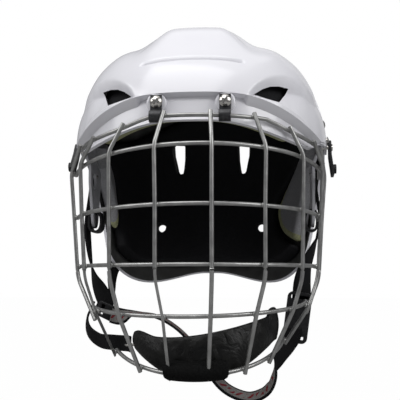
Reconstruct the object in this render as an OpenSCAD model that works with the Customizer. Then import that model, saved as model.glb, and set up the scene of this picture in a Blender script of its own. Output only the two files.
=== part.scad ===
// Ice hockey helmet with a wire cage, chin cup and harness.
// X is to the viewer's right as the face looks at the viewer, Y to the back of the head, Z up.
// The origin is on the helmet's middle plane, under the widest point of the shell,
// level with the cage's fourth cross wire, which is about the height of the wearer's mouth.

/* [Shell] */
// Half of the shell's greatest width
shell_half_w = 113.5; // [108:0.5:118]
// Half of the shell's greatest length
shell_half_l = 136; // [130:1:142]
// Height of the level where the shell is widest
shell_mid_z = 97; // [94:1:100]
// Rise of the crown above the widest level
shell_rise = 105.5; // [100:0.5:112]
// Depth over which the back would close below the widest level
nape_depth = 150; // [140:1:170]
// Thickness of the shell wall
shell_wall = 2.8; // [2.2:0.1:3.2]
// Height of the raised band along the crown
ridge_h = 12.2; // [6:0.2:14]
// Depth of the band sunk in under the brow line
brow_sink = 6; // [4:0.5:7]
// Free space between the front shell and the tongue that slides under it
shell_gap = 0.5; // [0.4:0.05:0.8]
// How far the rear shell reaches under the front shell
tongue_l = 28; // [26:1:32]
// How far the rear shell slides back to fit a larger head
size_travel = 12; // [6:1:12]

/* [Liner] */
// Thickness of the foam pads
pad_t = 14; // [10:1:16]
// Free space between a pad and the wall that it is stuck to
pad_gap = 0.5; // [0.3:0.05:0.8]

/* [Cage] */
// Diameter of the cage wire
wire_d = 3.3; // [2.8:0.1:3.6]
// Free space between two wires at a weld
weld_gap = 0.06; // [0.05:0.01:0.1]
// Turn of the cage in its clips about the upright axis
cage_turn = 10; // [0:0.5:12]
// Free space, front to back, between the top wire and the brow at the ends of its level arc
brow_gap = 2.12; // [2:0.02:3]
// Reach of the cage's fourth cross wire in front of that axis
cage_reach = 100.5; // [99:0.5:102]
// Radius of the top wire where it runs through the clips
top_wire_r = 89.5; // [88.5:0.5:90.5]
// Height of the top wire
top_wire_z = 113; // [112:0.5:114]

/* [Clips and screws] */
// Distance between the two cage clips
clip_pitch = 53.5; // [52:0.5:55]
// Width of a cage clip
clip_w = 9; // [8:0.2:9.4]
// Thickness of the clip's sheet steel
clip_t = 1.2; // [1:0.1:1.4]
// Radius of the hole in the clip's eye
clip_eye_r = 3.5; // [3.4:0.05:3.7]
// Height of the clip screws
clip_screw_z = 125.5; // [124.5:0.5:127]
// Diameter of a screw head
screw_head_d = 9.8; // [8:0.2:10]
// Diameter of a screw shank
screw_d = 4; // [3.5:0.1:4.5]

/* [Ear guards and harness] */
// Thickness of an ear guard
guard_t = 2.4; // [2:0.1:3]
// Height of an ear guard's lower edge
guard_low_z = 38; // [34:1:42]
// Width of the harness webbing
strap_w = 16; // [12:1:18]
// Thickness of the harness webbing
strap_t = 1.8; // [1.2:0.1:2]

/* [Hidden] */
shell_power = 2.4;
// Flat half width and foot half width of the crown ridge, and where it starts at the front
ridge_top = 19;
ridge_foot = 54;
ridge_start_y = -118;
ridge_full_y = -70;
// Height of the rounded shoulders beside the ridge
shoulder_h = 4;
// Angles on the shell are measured about the line through both ears: up from the front, over
// the crown, and down the back. The second angle runs from the middle plane to the ears.
ear_angle = 84;
brow_angle = 14.8;
split_angle = 90;
cols = 28;
front_steps = 8;
rear_steps = 14;

// Left is the viewer's left, at negative X
sides = [-1, 1];

function smooth(a, b, v) = let (t = max(0, min(1, (v - a) / (b - a)))) t * t * (3 - 2 * t);
function lerp(a, b, t) = a + (b - a) * t;

// Wall of the shell
function shell_dir(u, w) = [sin(w), -cos(w) * cos(u), cos(w) * sin(u)];
function shell_reach(d, inset) = pow(
  pow(abs(d.x) / (shell_half_w - inset), shell_power)
  + pow(abs(d.y) / (shell_half_l - inset), shell_power)
  + pow(abs(d.z) / ((d.z > 0 ? shell_rise : nape_depth) - inset), shell_power),
  -1 / shell_power);
function ridge_lift(p, d) = smooth(ridge_start_y, ridge_full_y, p.y) * (
  ridge_h * (1 - smooth(ridge_top, ridge_foot, abs(p.x))) * smooth(0.3, 0.8, d.z)
  + shoulder_h * smooth(42, 70, abs(p.x)) * (1 - smooth(84, 110, abs(p.x))) * smooth(0.15, 0.55, d.z));
function shell_point(u, w, inset) = let (d = shell_dir(u, w), p = d * shell_reach(d, inset))
  p + [0, 0, shell_mid_z + ridge_lift(p, d)];

// The band under the brow line is sunk in. Its upper edge steps in at the middle and slopes in over the
// temples, and the line falls toward the ears until it meets the shell's lower edge
function brow_inset(w) = brow_sink * (1 - smooth(50, 70, abs(w)));
function brow_line(w) = brow_angle + 0.6 - 9.6 * smooth(14, 66, abs(w));
function brow_slope(w) = lerp(1.4, 2.6, smooth(17, 21, abs(w)));
function front_low_angle(w) = 6.4 - 6.6 * smooth(6, 50, abs(w)) + 8 * smooth(50, 64, abs(w))
  + 18 * smooth(64, 84, abs(w));
function tongue_angle(w, reach) = acos(min(0.94, reach / (shell_half_w * cos(w))));
function rear_end_angle(w) = 222.3 + 23 * smooth(2, 46, abs(w)) - 23.3 * smooth(44, 62, abs(w))
  - 40 * smooth(60, 84, abs(w));

// A closed wall between two grids of points that have the same rows and columns
module wall_between(outer, inner) {
  r = len(outer);
  c = len(outer[0]);
  n = r * c;
  flat = [for (row = outer) each row];
  back = [for (row = inner) each row];
  faces = [
    for (i = [0 : r - 2], j = [0 : c - 2])
      let (a = i * c + j, b = a + 1, d = a + c, e = d + 1)
        each [[a, d, e], [a, e, b], [n + a, n + e, n + d], [n + a, n + b, n + e]],
    for (j = [0 : c - 2])
      let (a = j, b = j + 1, d = (r - 1) * c + j, e = d + 1)
        each [[a, b, n + b], [a, n + b, n + a], [d, n + e, e], [d, n + d, n + e]],
    for (i = [0 : r - 2])
      let (a = i * c, b = a + c, d = a + c - 1, e = b + c - 1)
        each [[a, n + b, b], [a, n + a, n + b], [d, e, n + e], [d, n + e, n + d]]
  ];
  polyhedron(points = concat(flat, back), faces = faces, convexity = 6);
}

function col_angles(limit, n) = [for (j = [0 : n]) lerp(-limit, limit, j / n)];

function front_rows(w) = let (low = front_low_angle(w), full = max(brow_line(w), low + 1.6)) concat(
  [[low, brow_inset(w)], [max(lerp(low, full, 0.35), full - brow_slope(w)), brow_inset(w)], [full, 0]],
  [for (k = [1 : front_steps]) [lerp(full, split_angle, k / front_steps), 0]]);

function rear_rows(w) = let (end = rear_end_angle(w), s = shell_wall + shell_gap) concat(
  [for (k = [0 : 2]) [lerp(tongue_angle(w, tongue_l), split_angle, k / 3), s]],
  [[split_angle + 0.25, s], [split_angle + 0.6, 0]],
  [for (k = [1 : rear_steps]) [lerp(split_angle + 0.6, end, k / rear_steps), 0]]);

module shell_patch(ws, rows, t) {
  grid = [for (w = ws) rows(w)];
  wall_between(
    [for (i = [0 : len(grid[0]) - 1])
      [for (j = [0 : len(ws) - 1]) shell_point(grid[j][i][0], ws[j], grid[j][i][1])]],
    [for (i = [0 : len(grid[0]) - 1])
      [for (j = [0 : len(ws) - 1]) shell_point(grid[j][i][0], ws[j], grid[j][i][1] + t)]]);
}

// The top wire's level arc ends nearest to the brow, which sets the place of the cage's upright axis
top_level_x = 45;
top_end_turn = asin(top_level_x / top_wire_r) + cage_turn;
function brow_front(x, z) = (shell_half_l - brow_sink)
  * pow(1 - pow(x / (shell_half_w - brow_sink), shell_power) - pow((z - shell_mid_z) / (shell_rise - brow_sink), shell_power),
    1 / shell_power);
cage_axis_y = top_wire_r * cos(top_end_turn) - brow_front(top_wire_r * sin(top_end_turn), top_wire_z) - wire_d / 2 - brow_gap;

// Places of the clips and their screws
top_wire_back = cage_reach - top_wire_r;
function top_arc_y(x) = cage_axis_y - sqrt(top_wire_r * top_wire_r - x * x);
clip_x = clip_pitch / 2;
hinge_y = (top_arc_y(clip_x - clip_w / 2) + top_arc_y(clip_x + clip_w / 2)) / 2;
clip_leaf_t = 2 * clip_t;
clip_seat_y = hinge_y + clip_eye_r + clip_t + clip_leaf_t - 0.4;
boss_r = 8;
nut_seat_y = clip_seat_y + 9;
nut_flange_r = 5.5;
nut_flange_t = 1.2;
nut_barrel_r = screw_d / 2 + 1;
screw_head_h = 3;

module at_clips() for (s = sides) translate([s * clip_x, 0, clip_screw_z]) rotate([-90, 0, 0]) children();

// Pan head screw along Z with its head below z = 0 and its shank running up
module cross_screw(head_d, shank_d, shank_l, head_h) difference() {
  union() {
    intersection() {
      translate([0, 0, -head_h]) cylinder(d = head_d, h = head_h, $fn = 48);
      translate([0, 0, head_d * 0.62 - head_h]) sphere(r = head_d * 0.62, $fn = 48);
    }
    translate([0, 0, -0.01]) cylinder(d = shank_d, h = shank_l, $fn = 32);
  }
  for (a = [0, 90]) rotate([0, 0, a + 30])
    translate([-head_d * 0.3, -head_d * 0.06, -head_h - 0.1]) cube([head_d * 0.6, head_d * 0.12, head_h * 0.55]);
}

// Flanged nut along Z with its flange at z = 0, its barrel running down round the shank
module flange_nut(bore_r, barrel_r, barrel_l, flange_r, flange_t) difference() {
  union() {
    cylinder(r = flange_r, h = flange_t, $fn = 40);
    translate([0, 0, -barrel_l]) cylinder(r = barrel_r, h = barrel_l + 0.01, $fn = 32);
  }
  translate([0, 0, -barrel_l - 1]) cylinder(r = bore_r, h = barrel_l + flange_t + 2, $fn = 32);
}

// Size screws at the two sides, through the front shell and a slot in the tongue
size_screw_y = -8;
size_screw_rise = 34;
size_screw_x = shell_half_w * pow(1 - pow(size_screw_rise / shell_rise, shell_power), 1 / shell_power);
size_screw_tilt = 77;
module at_size_screws() for (s = sides) scale([s, 1, 1])
  translate([size_screw_x, size_screw_y, shell_mid_z + size_screw_rise]) rotate([0, size_screw_tilt, 0]) children();

// Vents: a hooded opening over each temple, and a drop and a round hole at each side of the back
vent_x = 65;
vent_z = 137;
rear_vent_x = 35.6;
rear_vent_z = 121;
rear_vent_h = 32;
rear_vent_w = 11;
rear_hole_x = 54;
rear_hole_z = 44.5;
rear_hole_r = 4;

module temple_vents(grow = 0) for (s = sides) scale([s, 1, 1])
  translate([vent_x - 8, 48 - shell_half_l, vent_z]) rotate([90, 0, 24])
    linear_extrude(44)
      polygon([[-14 - grow, -3], [-8, 5 + grow], [3, 8 + grow], [12 + grow, 5 + grow],
        [8 + grow, -7 - grow], [2, -6 - grow]]);

module rear_vents(grow = 0) for (s = sides) {
  scale([s, 1, 1]) translate([rear_vent_x, shell_half_l - 56, rear_vent_z]) rotate([-90, 0, 0]) linear_extrude(70)
    let (w = rear_vent_w / 2 + grow, h = rear_vent_h / 2 + grow)
      polygon([[-w, 1.5 - h], [1 - w, -h], [w - 1, -h], [w, 1.5 - h], [w - 0.4, -4], [w - 2.2, 4], [1.6 + grow, h - 3.5],
        [0.2 + grow, h - 0.8], [-1.4, h], [-2.9 - grow, h - 0.8], [-3.8 - grow, h - 5], [0.5 - w, 2]]);
  translate([s * rear_hole_x, shell_half_l - 86, rear_hole_z]) rotate([-90, 0, 0]) cylinder(r = rear_hole_r + grow, h = 90, $fn = 24);
}

module front_shell() color("white") difference() {
  union() {
    shell_patch(col_angles(ear_angle, cols), function (w) front_rows(w), shell_wall);
    at_clips() translate([0, 0, clip_seat_y]) cylinder(r = boss_r, h = nut_seat_y - clip_seat_y, $fn = 48);
  }
  temple_vents();
  at_clips() {
    translate([0, 0, clip_seat_y - 1]) cylinder(r = nut_barrel_r + 0.1, h = 30, $fn = 32);
    translate([0, 0, clip_seat_y - 20]) cylinder(r = boss_r, h = 20, $fn = 48);
    translate([0, 0, nut_seat_y]) cylinder(r = nut_flange_r + 0.3, h = 12, $fn = 48);
    translate([-clip_w / 2 - 0.3, -6, clip_seat_y - 20]) cube([clip_w + 0.6, clip_screw_z - top_wire_z + 12, 19.95]);
  }
  at_size_screws() translate([0, 0, -20]) cylinder(d = screw_d + 0.2, h = 40, $fn = 32);
  at_guard_screws() translate([0, 0, -20]) cylinder(d = screw_d + 0.2, h = 30, $fn = 32);
  at_tabs(0) translate([0, 0, -20]) cylinder(r = tab_rivet_r + 0.1, h = 30, $fn = 32);
}

module rear_shell() color("white") difference() {
  shell_patch(col_angles(ear_angle, cols), function (w) rear_rows(w), shell_wall);
  rear_vents();
  at_size_screws() translate([0, 0, -20]) hull() for (y = [0, -size_travel - 0.4])
    translate([0, y, 0]) cylinder(d = screw_d + 0.8, h = 40, $fn = 24);
  for (s = sides) scale([s, 1, 1]) translate([shell_half_w - 17.5, -60, 60]) cube([30, 60.2, 60.5]);
  for (s = sides) at_nape(s) translate([0, 0, -8]) cylinder(r = rivet_r + 0.1, h = 16, $fn = 24);
}

// Foam pads follow the inside of the shell on its own grid and thin out along their edges
module pad_patch(ws, rows, t, inset = shell_wall + pad_gap) {
  n = len(rows(0)) - 1;
  m = len(ws) - 1;
  function edge(i, j) = (i == 0 || i == n || j == 0 || j == m) ? 0.55 : 1;
  wall_between(
    [for (i = [0 : n]) [for (j = [0 : m]) shell_point(rows(ws[j])[i], ws[j], inset)]],
    [for (i = [0 : n]) [for (j = [0 : m]) shell_point(rows(ws[j])[i], ws[j], inset + t * edge(i, j))]]);
}
col_step = 2 * ear_angle / cols;
function some_cols(a, b) = [for (k = [a : b]) k * col_step];
function some_front_rows(a, b) = [for (k = [a : b]) lerp(brow_angle, split_angle, k / front_steps)];
function some_rear_rows(w, a, b) = [for (k = [a : b]) lerp(split_angle + 0.6, rear_end_angle(w), k / rear_steps)];

module clip_pockets() at_clips() translate([0, 0, clip_seat_y - 2])
  cylinder(r = boss_r + pad_gap, h = nut_seat_y - clip_seat_y + 6, $fn = 32);

module forehead_pad() color("black") difference() {
  pad_patch(some_cols(-7, 7), function (w) let (foot = front_low_angle(w) + 1.3)
      concat([foot, lerp(foot, brow_angle, 0.5)], some_front_rows(0, 3)), pad_t,
    shell_wall + pad_gap + brow_sink);
  clip_pockets();
}
module crown_pad() color("black") pad_patch(some_cols(-8, 8), function (w) concat(some_front_rows(4, 5), [66]), pad_t);
module rear_crown_pad() color("black") pad_patch(some_cols(-8, 8), function (w) some_rear_rows(w, 1, 5), pad_t);
// Line between the occipital and the temple foam: it curves in toward the jaw
pad_split_gap = 3;
function pad_split(u, s) = s < 0
  ? 75 - 14 * smooth(158, 210, u) - 13 * smooth(205, 231, u)
  : 72 - 12 * smooth(140, 178, u) - 24 * smooth(174, 200, u) + 11 * smooth(208, 238, u);
function rear_at(w, row) = lerp(split_angle + 0.6, rear_end_angle(w), row / rear_steps);
function side_w(u, share, s) = lerp(pad_split(u, s), 79, share);
function back_w(u, share) = (pad_split(u, share) - pad_split_gap) * share;
function side_settled(u, row, share, s, n) = n == 0 ? u : side_settled(rear_at(side_w(u, share, s), row), row, share, s, n - 1);
function back_settled(u, row, share, n) = n == 0 ? u : back_settled(rear_at(back_w(u, share), row), row, share, n - 1);
function side_place(row, share, s) = let (
  u = side_settled(rear_at(64, row), row, share, s, 5), w = side_w(u, share, s)) [rear_at(w, row), w];
function back_place(row, share) = let (u = back_settled(rear_at(64 * abs(share), row), row, share, 5), w = back_w(u, share))
  [rear_at(w, row - 0.5 * smooth(8, 24, abs(w)) * smooth(12.9, 13.75, row)), w];
// A pad over a grid of places, each an angle pair, thinner along its edge. Its columns don't follow the
// shell's, so it keeps free of the flat faces of the wall by a sag
module placed_pad(grid, t, sag) {
  n = len(grid) - 1;
  m = len(grid[0]) - 1;
  wall_between(
    [for (i = [0 : n]) [for (j = [0 : m]) shell_point(grid[i][j][0], grid[i][j][1], shell_wall + pad_gap + sag)]],
    [for (i = [0 : n]) [for (j = [0 : m]) shell_point(grid[i][j][0], grid[i][j][1],
      shell_wall + pad_gap + sag + t * ((i == 0 || i == n || j == 0 || j == m) ? 0.55 : 1))]]);
}
module nape_rooms() for (s = sides) at_nape(s) translate([0, 0, -24]) cylinder(r = rivet_head_r + 1.2, h = 24, $fn = 24);

module occipital_pad() color("black") difference() {
  placed_pad([for (row = [6, 7, 8, 9, 10, 11, 12, 12.9, 13.75]) [for (j = [-9 : 9]) back_place(row, j / 9)]], pad_t, 0.82);
  nape_rooms();
  rear_vents(1.5);
}
module temple_pad(s) difference() {
  scale([s, 1, 1]) placed_pad([for (i = [0 : 11]) [for (j = [0 : 4]) side_place(lerp(4, 13.4, i / 11), j / 4, s)]], pad_t, 0.45);
  nape_rooms();
}
module temple_pad_left() color("gainsboro") temple_pad(-1);
module temple_pad_right() color("gainsboro") temple_pad(1);

// Cage: each cross wire is an arc of an ellipse, given by its height, set back, half width,
// depth and how fast it climbs toward the back
row_z = [top_wire_z, 90, 45, 0, -38, -82.5];
row_back = [top_wire_back, 3, 3, 3, 11.5, 28];
row_half = [for (d = [0, 7.5, 9.5, 13, 25, 40.5]) shell_half_w - d];
row_deep = [0, 107, 107, 107, 82, 82];
row_rise = [0, -0.14, -0.045, 0, 0.1, 0.34];
// The lower wires of this cage also climb toward the viewer's right
row_tilt = [0, 0, 0, 0, 0.027, 0.06];
// Share of the half width at which each upright bar crosses each wire, from the top
bar_share = [
  [0, 0, 0, 0, 0, 0],
  [34, 0.385, 0.385, 0.395, 0.38, 0.38],
  [64.5, 0.695, 0.705, 0.72, 0.73, 0.67],
  [87, 0.905, 0.915, 0.92, 0.922, 0.937],
  [98, 0.986, 0.987, 0.985, 0.978, 0.978]
];
// The top wire leaves its level arc at the temples, falls, and runs back: each point gives its share of
// the way out, and how far it lies behind and below the arc's end
top_end_x = shell_half_w - 14.5;
top_level_y = cage_reach - sqrt(top_wire_r * top_wire_r - top_level_x * top_level_x);
top_side = [for (p = [[0.176, 4.87, 2.7], [0.361, 9.47, 6.5], [0.593, 16.87, 10.2], [0.778, 26.37, 12.8], [0.907, 36.87, 14.6],
  [0.981, 50.87, 15.8], [1, 55.87, 16.2]])
  [lerp(top_level_x, top_end_x, p.x), top_level_y + p.y, top_wire_z - p.z]];
top_side_bar = [0, 0, 1, 3, 5];
bend_drop = 9;

function unit(v) = v / norm(v);
function row_point(r, q) = let (dy = row_deep[r] * (1 - sqrt(1 - q * q)))
  [row_half[r] * q, row_back[r] + dy, row_z[r] + row_rise[r] * dy + row_tilt[r] * row_half[r] * q];
function top_arc(x) = [x, top_wire_back + top_wire_r - sqrt(top_wire_r * top_wire_r - x * x), top_wire_z];
function flip_x(p) = [-p.x, p.y, p.z];
// Points and ways of the wires at a side, the left ones mirrored to the right
function side_point(r, q, s) = s < 0 ? flip_x(row_point(r, -q)) : row_point(r, q);
function cage_point(k, r, s) = r > 0 ? side_point(r, bar_share[k][r], s)
  : k < 2 ? top_arc(bar_share[k][0]) : top_side[top_side_bar[k]];
function row_way(k, r, s) = r > 0
  ? let (q = bar_share[k][r]) unit(side_point(r, q + 0.01, s) - side_point(r, q - 0.01, s))
  : k < 2 ? unit(top_arc(bar_share[k][0] + 1) - top_arc(bar_share[k][0] - 1))
  : let (i = top_side_bar[k]) unit(top_side[i + 1] - top_side[max(i - 1, 0)]);

// A tube swept along a path, with ends cut square
tube_sides = 8;
function ring_at(path, i, r, up) = let (
  a = path[max(i - 1, 0)], b = path[min(i + 1, len(path) - 1)],
  t = unit(b - a), e = unit(cross(t, up)), f = cross(e, t))
  [for (k = [0 : tube_sides - 1]) let (g = 360 * (k + 0.5) / tube_sides) path[i] + r * (cos(g) * e + sin(g) * f)];
module tube(path, r, up) {
  n = len(path);
  m = tube_sides;
  polyhedron(
    points = [for (i = [0 : n - 1]) each ring_at(path, i, r, up)],
    faces = concat(
      [for (i = [0 : n - 2], k = [0 : m - 1]) let (a = i * m + k, b = i * m + (k + 1) % m)
        each [[a, b + m, a + m], [a, b, b + m]]],
      [[for (k = [m - 1 : -1 : 0]) k], [for (k = [0 : m - 1]) (n - 1) * m + k]]),
    convexity = 10);
}

// Corners of a path rounded off, each over its own length
function rounded(pts, cuts) = let (n = len(pts)) concat([pts[0]],
  [for (i = [1 : n - 2]) let (a = unit(pts[i - 1] - pts[i]), b = unit(pts[i + 1] - pts[i]), c = cuts[i],
    p = pts[i] + c * a, q = pts[i] + c * b)
    each [p, (p + 2 * pts[i] + q) / 4, q]],
  [pts[n - 1]]);

module in_cage() translate([0, cage_axis_y, 0]) rotate([0, 0, cage_turn]) translate([0, -cage_reach, 0]) children();

wire_r = wire_d / 2;
weld_pitch = wire_d + weld_gap;
row_steps = 13;
module cross_wire(r) color("dimgray") in_cage() {
  end_share = bar_share[r == 5 ? 3 : 4][r] + 0.006;
  right = r == 0
    ? concat([for (k = [1 : 6]) top_arc(top_level_x * k / 6)], top_side)
    : [for (k = [1 : row_steps]) row_point(r, sin(asin(end_share) * k / row_steps))];
  left = [for (k = [len(right) - 1 : -1 : 0]) r == 0 ? flip_x(right[k])
    : row_point(r, -sin(asin(end_share) * (k + 1) / row_steps))];
  tube(concat(left, [r == 0 ? top_arc(0) : row_point(r, 0)], right), wire_r, [0, 0, 1]);
}

// Upright bars lie on the outside of the cross wires and bend at the second wire and below the fourth
bar_cut = [0, 4.5, 3, 3, 7, 3, 0];
function bar_stops(k, s) = [for (r = [0 : k == 4 ? 4 : 5]) cage_point(k, r, s)];
function bar_corner(k, r, s, stops) = let (
  last = len(stops) - 1,
  t_in = unit(stops[r] - stops[max(r - 1, 0)] + (r == 0 ? stops[1] - stops[0] : [0, 0, 0])),
  t_out = unit(stops[min(r + 1, last)] - stops[r] + (r == last ? stops[last] - stops[last - 1] : [0, 0, 0])),
  t = unit(t_in + t_out), out = unit(cross(t, row_way(k, r, s))),
  half = acos(min(1, t * t_in)))
  stops[r] + out * (weld_pitch / cos(half) + bar_cut[r] * sin(half) / 2);
function bar_path(k, s) = let (
  stops = bar_stops(k, s), last = len(stops) - 1,
  c = [for (r = [0 : last]) bar_corner(k, r, s, stops)],
  bend = c[3] + unit(c[3] - c[2]) * bend_drop,
  top = c[0] + unit(c[0] - c[1]) * (wire_r + 0.5),
  foot = c[last] + unit(c[last] - c[last - 1]) * (k == 4 ? 10 : wire_r + 1))
  rounded(concat([top, c[1], c[2], c[3], bend], k == 4 ? [] : [c[4]], [foot]), bar_cut);
module cage_bar(k, s) color("dimgray") in_cage() scale([s, 1, 1])
  tube(bar_path(k, s), wire_r, let (d = row_way(k, 1, s)) [d.x, d.y, 0]);

module bar_room(k, s) in_cage() scale([s, 1, 1])
  tube(bar_path(k, s), wire_r + 0.15, let (d = row_way(k, 1, s)) [d.x, d.y, 0]);

module cage_clip(s) color("#2b2b2e") difference() {
  union() {
    translate([s * clip_x - clip_w / 2, clip_seat_y - clip_leaf_t, top_wire_z])
      cube([clip_w, clip_leaf_t, clip_screw_z - top_wire_z + 5.5]);
    translate([s * clip_x - clip_w / 2, hinge_y, top_wire_z]) rotate([0, 90, 0])
      cylinder(r = clip_eye_r + clip_t, h = clip_w, $fn = 48);
  }
  translate([s * clip_x - clip_w, hinge_y, top_wire_z]) rotate([0, 90, 0]) cylinder(r = clip_eye_r, h = 2 * clip_w, $fn = 48);
  translate([s * clip_x, clip_seat_y - 10, clip_screw_z]) rotate([-90, 0, 0]) cylinder(d = screw_d + 0.2, h = 20, $fn = 32);
}
module clip_screws() color("silver") at_clips() translate([0, 0, clip_seat_y - clip_leaf_t])
  cross_screw(screw_head_d, screw_d, nut_seat_y - clip_seat_y + clip_leaf_t + 0.6, screw_head_h);
module clip_nuts() color("gray") at_clips() translate([0, 0, nut_seat_y + 0.06])
  flange_nut(screw_d / 2 + 0.05, nut_barrel_r, nut_seat_y - clip_seat_y - 1.5, nut_flange_r, nut_flange_t);

// Ear guards: a sheet hung from two screws inside the shell's edge, bent in toward the jaw
function shell_x(y, z, inset) = (shell_half_w - inset)
  * pow(1 - pow(abs(y) / (shell_half_l - inset), shell_power) - pow(abs(z - shell_mid_z) / (shell_rise - inset), shell_power),
    1 / shell_power);
guard_top_z = shell_mid_z + 21;
guard_screw_z = shell_mid_z + 15;
guard_screw_y = [-29, -9];
guard_front_y = -37;
guard_back_y = 4;
guard_mid_y = (guard_front_y + guard_back_y) / 2;
guard_top_x = shell_x(guard_front_y, guard_top_z, shell_wall) - pad_gap - 0.4;
guard_low_x = shell_half_w - 15;
guard_cut_x = guard_low_x - 18.5;
guard_bend_z = 90;
guard_slot_z = 49;
strap_y = -14;
module at_guard_screws() for (s = sides, y = guard_screw_y) scale([s, 1, 1])
  translate([shell_x(y, guard_screw_z, 0), y, guard_screw_z]) rotate([0, 90, 0]) children();
module guard_outline() difference() {
  union() {
    translate([guard_front_y, 80]) square([guard_back_y - guard_front_y, guard_top_z - 80]);
    translate([guard_mid_y, 80]) circle(r = (guard_back_y - guard_front_y) / 2, $fn = 48);
    translate([strap_y, guard_low_z + 9]) circle(r = 11, $fn = 32);
    polygon([[guard_front_y + 2.6, 70], [strap_y - 10.6, guard_low_z + 6], [strap_y + 10.6, guard_low_z + 6],
      [guard_back_y - 2, 70]]);
  }
  translate([guard_mid_y - 6, 78]) circle(r = 7, $fn = 32);
  translate([strap_y - 8, guard_slot_z]) square([16, 3.4]);
}
module ear_guard(s) color("whitesmoke") scale([s, 1, 1]) difference() {
  union() {
    intersection() {
      translate([0, 20, 0]) rotate([90, 0, 0]) linear_extrude(80)
        polygon([[guard_top_x, guard_top_z], [guard_top_x - guard_t, guard_top_z],
          [guard_top_x - guard_t, guard_screw_z - 7], [guard_low_x, guard_bend_z], [guard_low_x, guard_low_z - 3],
          [guard_low_x + guard_t, guard_low_z - 3], [guard_low_x + guard_t, guard_bend_z],
          [guard_top_x, guard_screw_z - 7]]);
      translate([guard_cut_x, 0, 0]) rotate([90, 0, 90]) linear_extrude(50) guard_outline();
    }
    for (y = guard_screw_y) translate([guard_top_x - guard_t, y, guard_screw_z]) rotate([0, 90, 0])
      cylinder(r = 4.5, h = shell_x(y, guard_screw_z, shell_wall) - guard_top_x + guard_t - 0.9, $fn = 32);
  }
  for (y = guard_screw_y) translate([guard_cut_x, y, guard_screw_z]) rotate([0, 90, 0]) cylinder(d = screw_d + 0.2, h = 40, $fn = 32);
  translate([guard_cut_x, strap_y, strap_rivet_z]) rotate([0, 90, 0]) cylinder(r = rivet_r + 0.1, h = 40, $fn = 32);
}
module ear_guard_screws() color("silver") at_guard_screws() translate([0, 0, 0.5])
  mirror([0, 0, 1]) cross_screw(8, screw_d, 10, 1.8);

module size_screws() color("silver") at_size_screws() translate([0, 0, 0.6])
  mirror([0, 0, 1]) cross_screw(screw_head_d, screw_d, 11, 2);
module size_nuts() color("gray") at_size_screws() translate([0, 0, -8.4])
  mirror([0, 0, 1]) flange_nut(screw_d / 2 + 0.05, nut_barrel_r, 0.5, nut_flange_r, nut_flange_t);

// Webbing: a flat band swept along hand-laid points, each given with the way its face looks
function mix3(a, b, c, d, t) = 0.5 * ((2 * b) + (c - a) * t + (2 * a - 5 * b + 4 * c - d) * t * t
  + (3 * b - a - 3 * c + d) * t * t * t);
function eased(pts, steps) = let (n = len(pts) - 1) concat(
  [for (i = [0 : n - 1], k = [0 : steps - 1])
    mix3(pts[max(i - 1, 0)], pts[i], pts[i + 1], pts[min(i + 2, n)], k / steps)],
  [pts[n]]);
module band(route, faces_to, w, t, steps = 3) {
  path = eased(route, steps);
  look = eased(faces_to, steps);
  n = len(path);
  rings = [for (i = [0 : n - 1]) let (
    go = unit(path[min(i + 1, n - 1)] - path[max(i - 1, 0)]),
    side = unit(cross(go, look[i])), up = cross(side, go))
    [for (c = [[1, 1], [-1, 1], [-1, -1], [1, -1]]) path[i] + c.x * side * w / 2 + c.y * up * t / 2]];
  polyhedron(points = [for (r = rings) each r],
    faces = concat(
      [for (i = [0 : n - 2], k = [0 : 3]) let (a = i * 4 + k, b = i * 4 + (k + 1) % 4)
        each [[a, b + 4, a + 4], [a, b, b + 4]]],
      [[0, 2, 1], [0, 3, 2], [n * 4 - 4, n * 4 - 3, n * 4 - 2], [n * 4 - 4, n * 4 - 2, n * 4 - 1]]),
    convexity = 6);
}

// The hand-laid points lie beside a shell of this half width, and move out with the shell
laid_half_w = 113.5;
side_shift = shell_half_w - laid_half_w;
function spread(p) = [p.x * (1 + side_shift / 81), p.y, p.z];
strap_rivet_z = 84;
rivet_r = 1.6;
rivet_head_r = 3.4;
ear_strap_top = [[105.5, strap_y, 97], [103.8, strap_y, 90], [103, strap_y, strap_rivet_z], [103, strap_y, 72],
  [105, strap_y, 56], [106.6, strap_y, 44]];
ear_strap_top_look = [[1, 0, 0.2], [1, 0, 0.1], [1, 0, 0], [1, 0, 0], [1, 0, 0], [1, 0, 0]];
ear_strap_low = [
  [[106.2, -14, 30], [103.6, -13, 8], [99.5, -13, -9], [93, -14, -22], [88.6, -14.8, -31.6], [91.2, -13.9, -38.9]],
  [[104.4, -14, 30], [99.5, -15, 17], [93, -18, 2], [89.4, -22, -12], [88.4, -24.5, -23], [87.4, -24.65, -31]]];
ear_strap_low_look = [[1, 0.05, 0], [1, -0.1, 0], [0.8, -0.4, 0], [0.5, -0.8, 0], [0.309, -0.951, 0], [0.309, -0.951, 0]];
ear_strap_low_look_right = [[1, 0.05, 0.1], [1, -0.2, 0.2], [0.8, -0.5, 0.2], [0.4, -0.9, 0.1], [0, -1, 0], [0, -1, 0]];
module ear_strap(s) color("#161616") scale([s, 1, 1]) translate([side_shift, 0, 0]) difference() {
  band(concat(ear_strap_top, ear_strap_low[s < 0 ? 0 : 1]),
    concat(ear_strap_top_look, s < 0 ? ear_strap_low_look : ear_strap_low_look_right), strap_w, strap_t);
  translate([90, strap_y, strap_rivet_z]) rotate([0, 90, 0]) cylinder(r = rivet_r + 0.1, h = 30, $fn = 32);
}
module strap_rivets() color("silver") for (s = sides) scale([s, 1, 1]) {
  translate([guard_low_x - 1, strap_y, strap_rivet_z]) rotate([0, 90, 0]) {
    cylinder(r = rivet_r, h = 7.2, $fn = 32);
    translate([0, 0, 6.8]) cylinder(r1 = rivet_head_r, r2 = rivet_head_r * 0.6, h = 1.4, $fn = 32);
  }
}
loop_w = 15;
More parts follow.
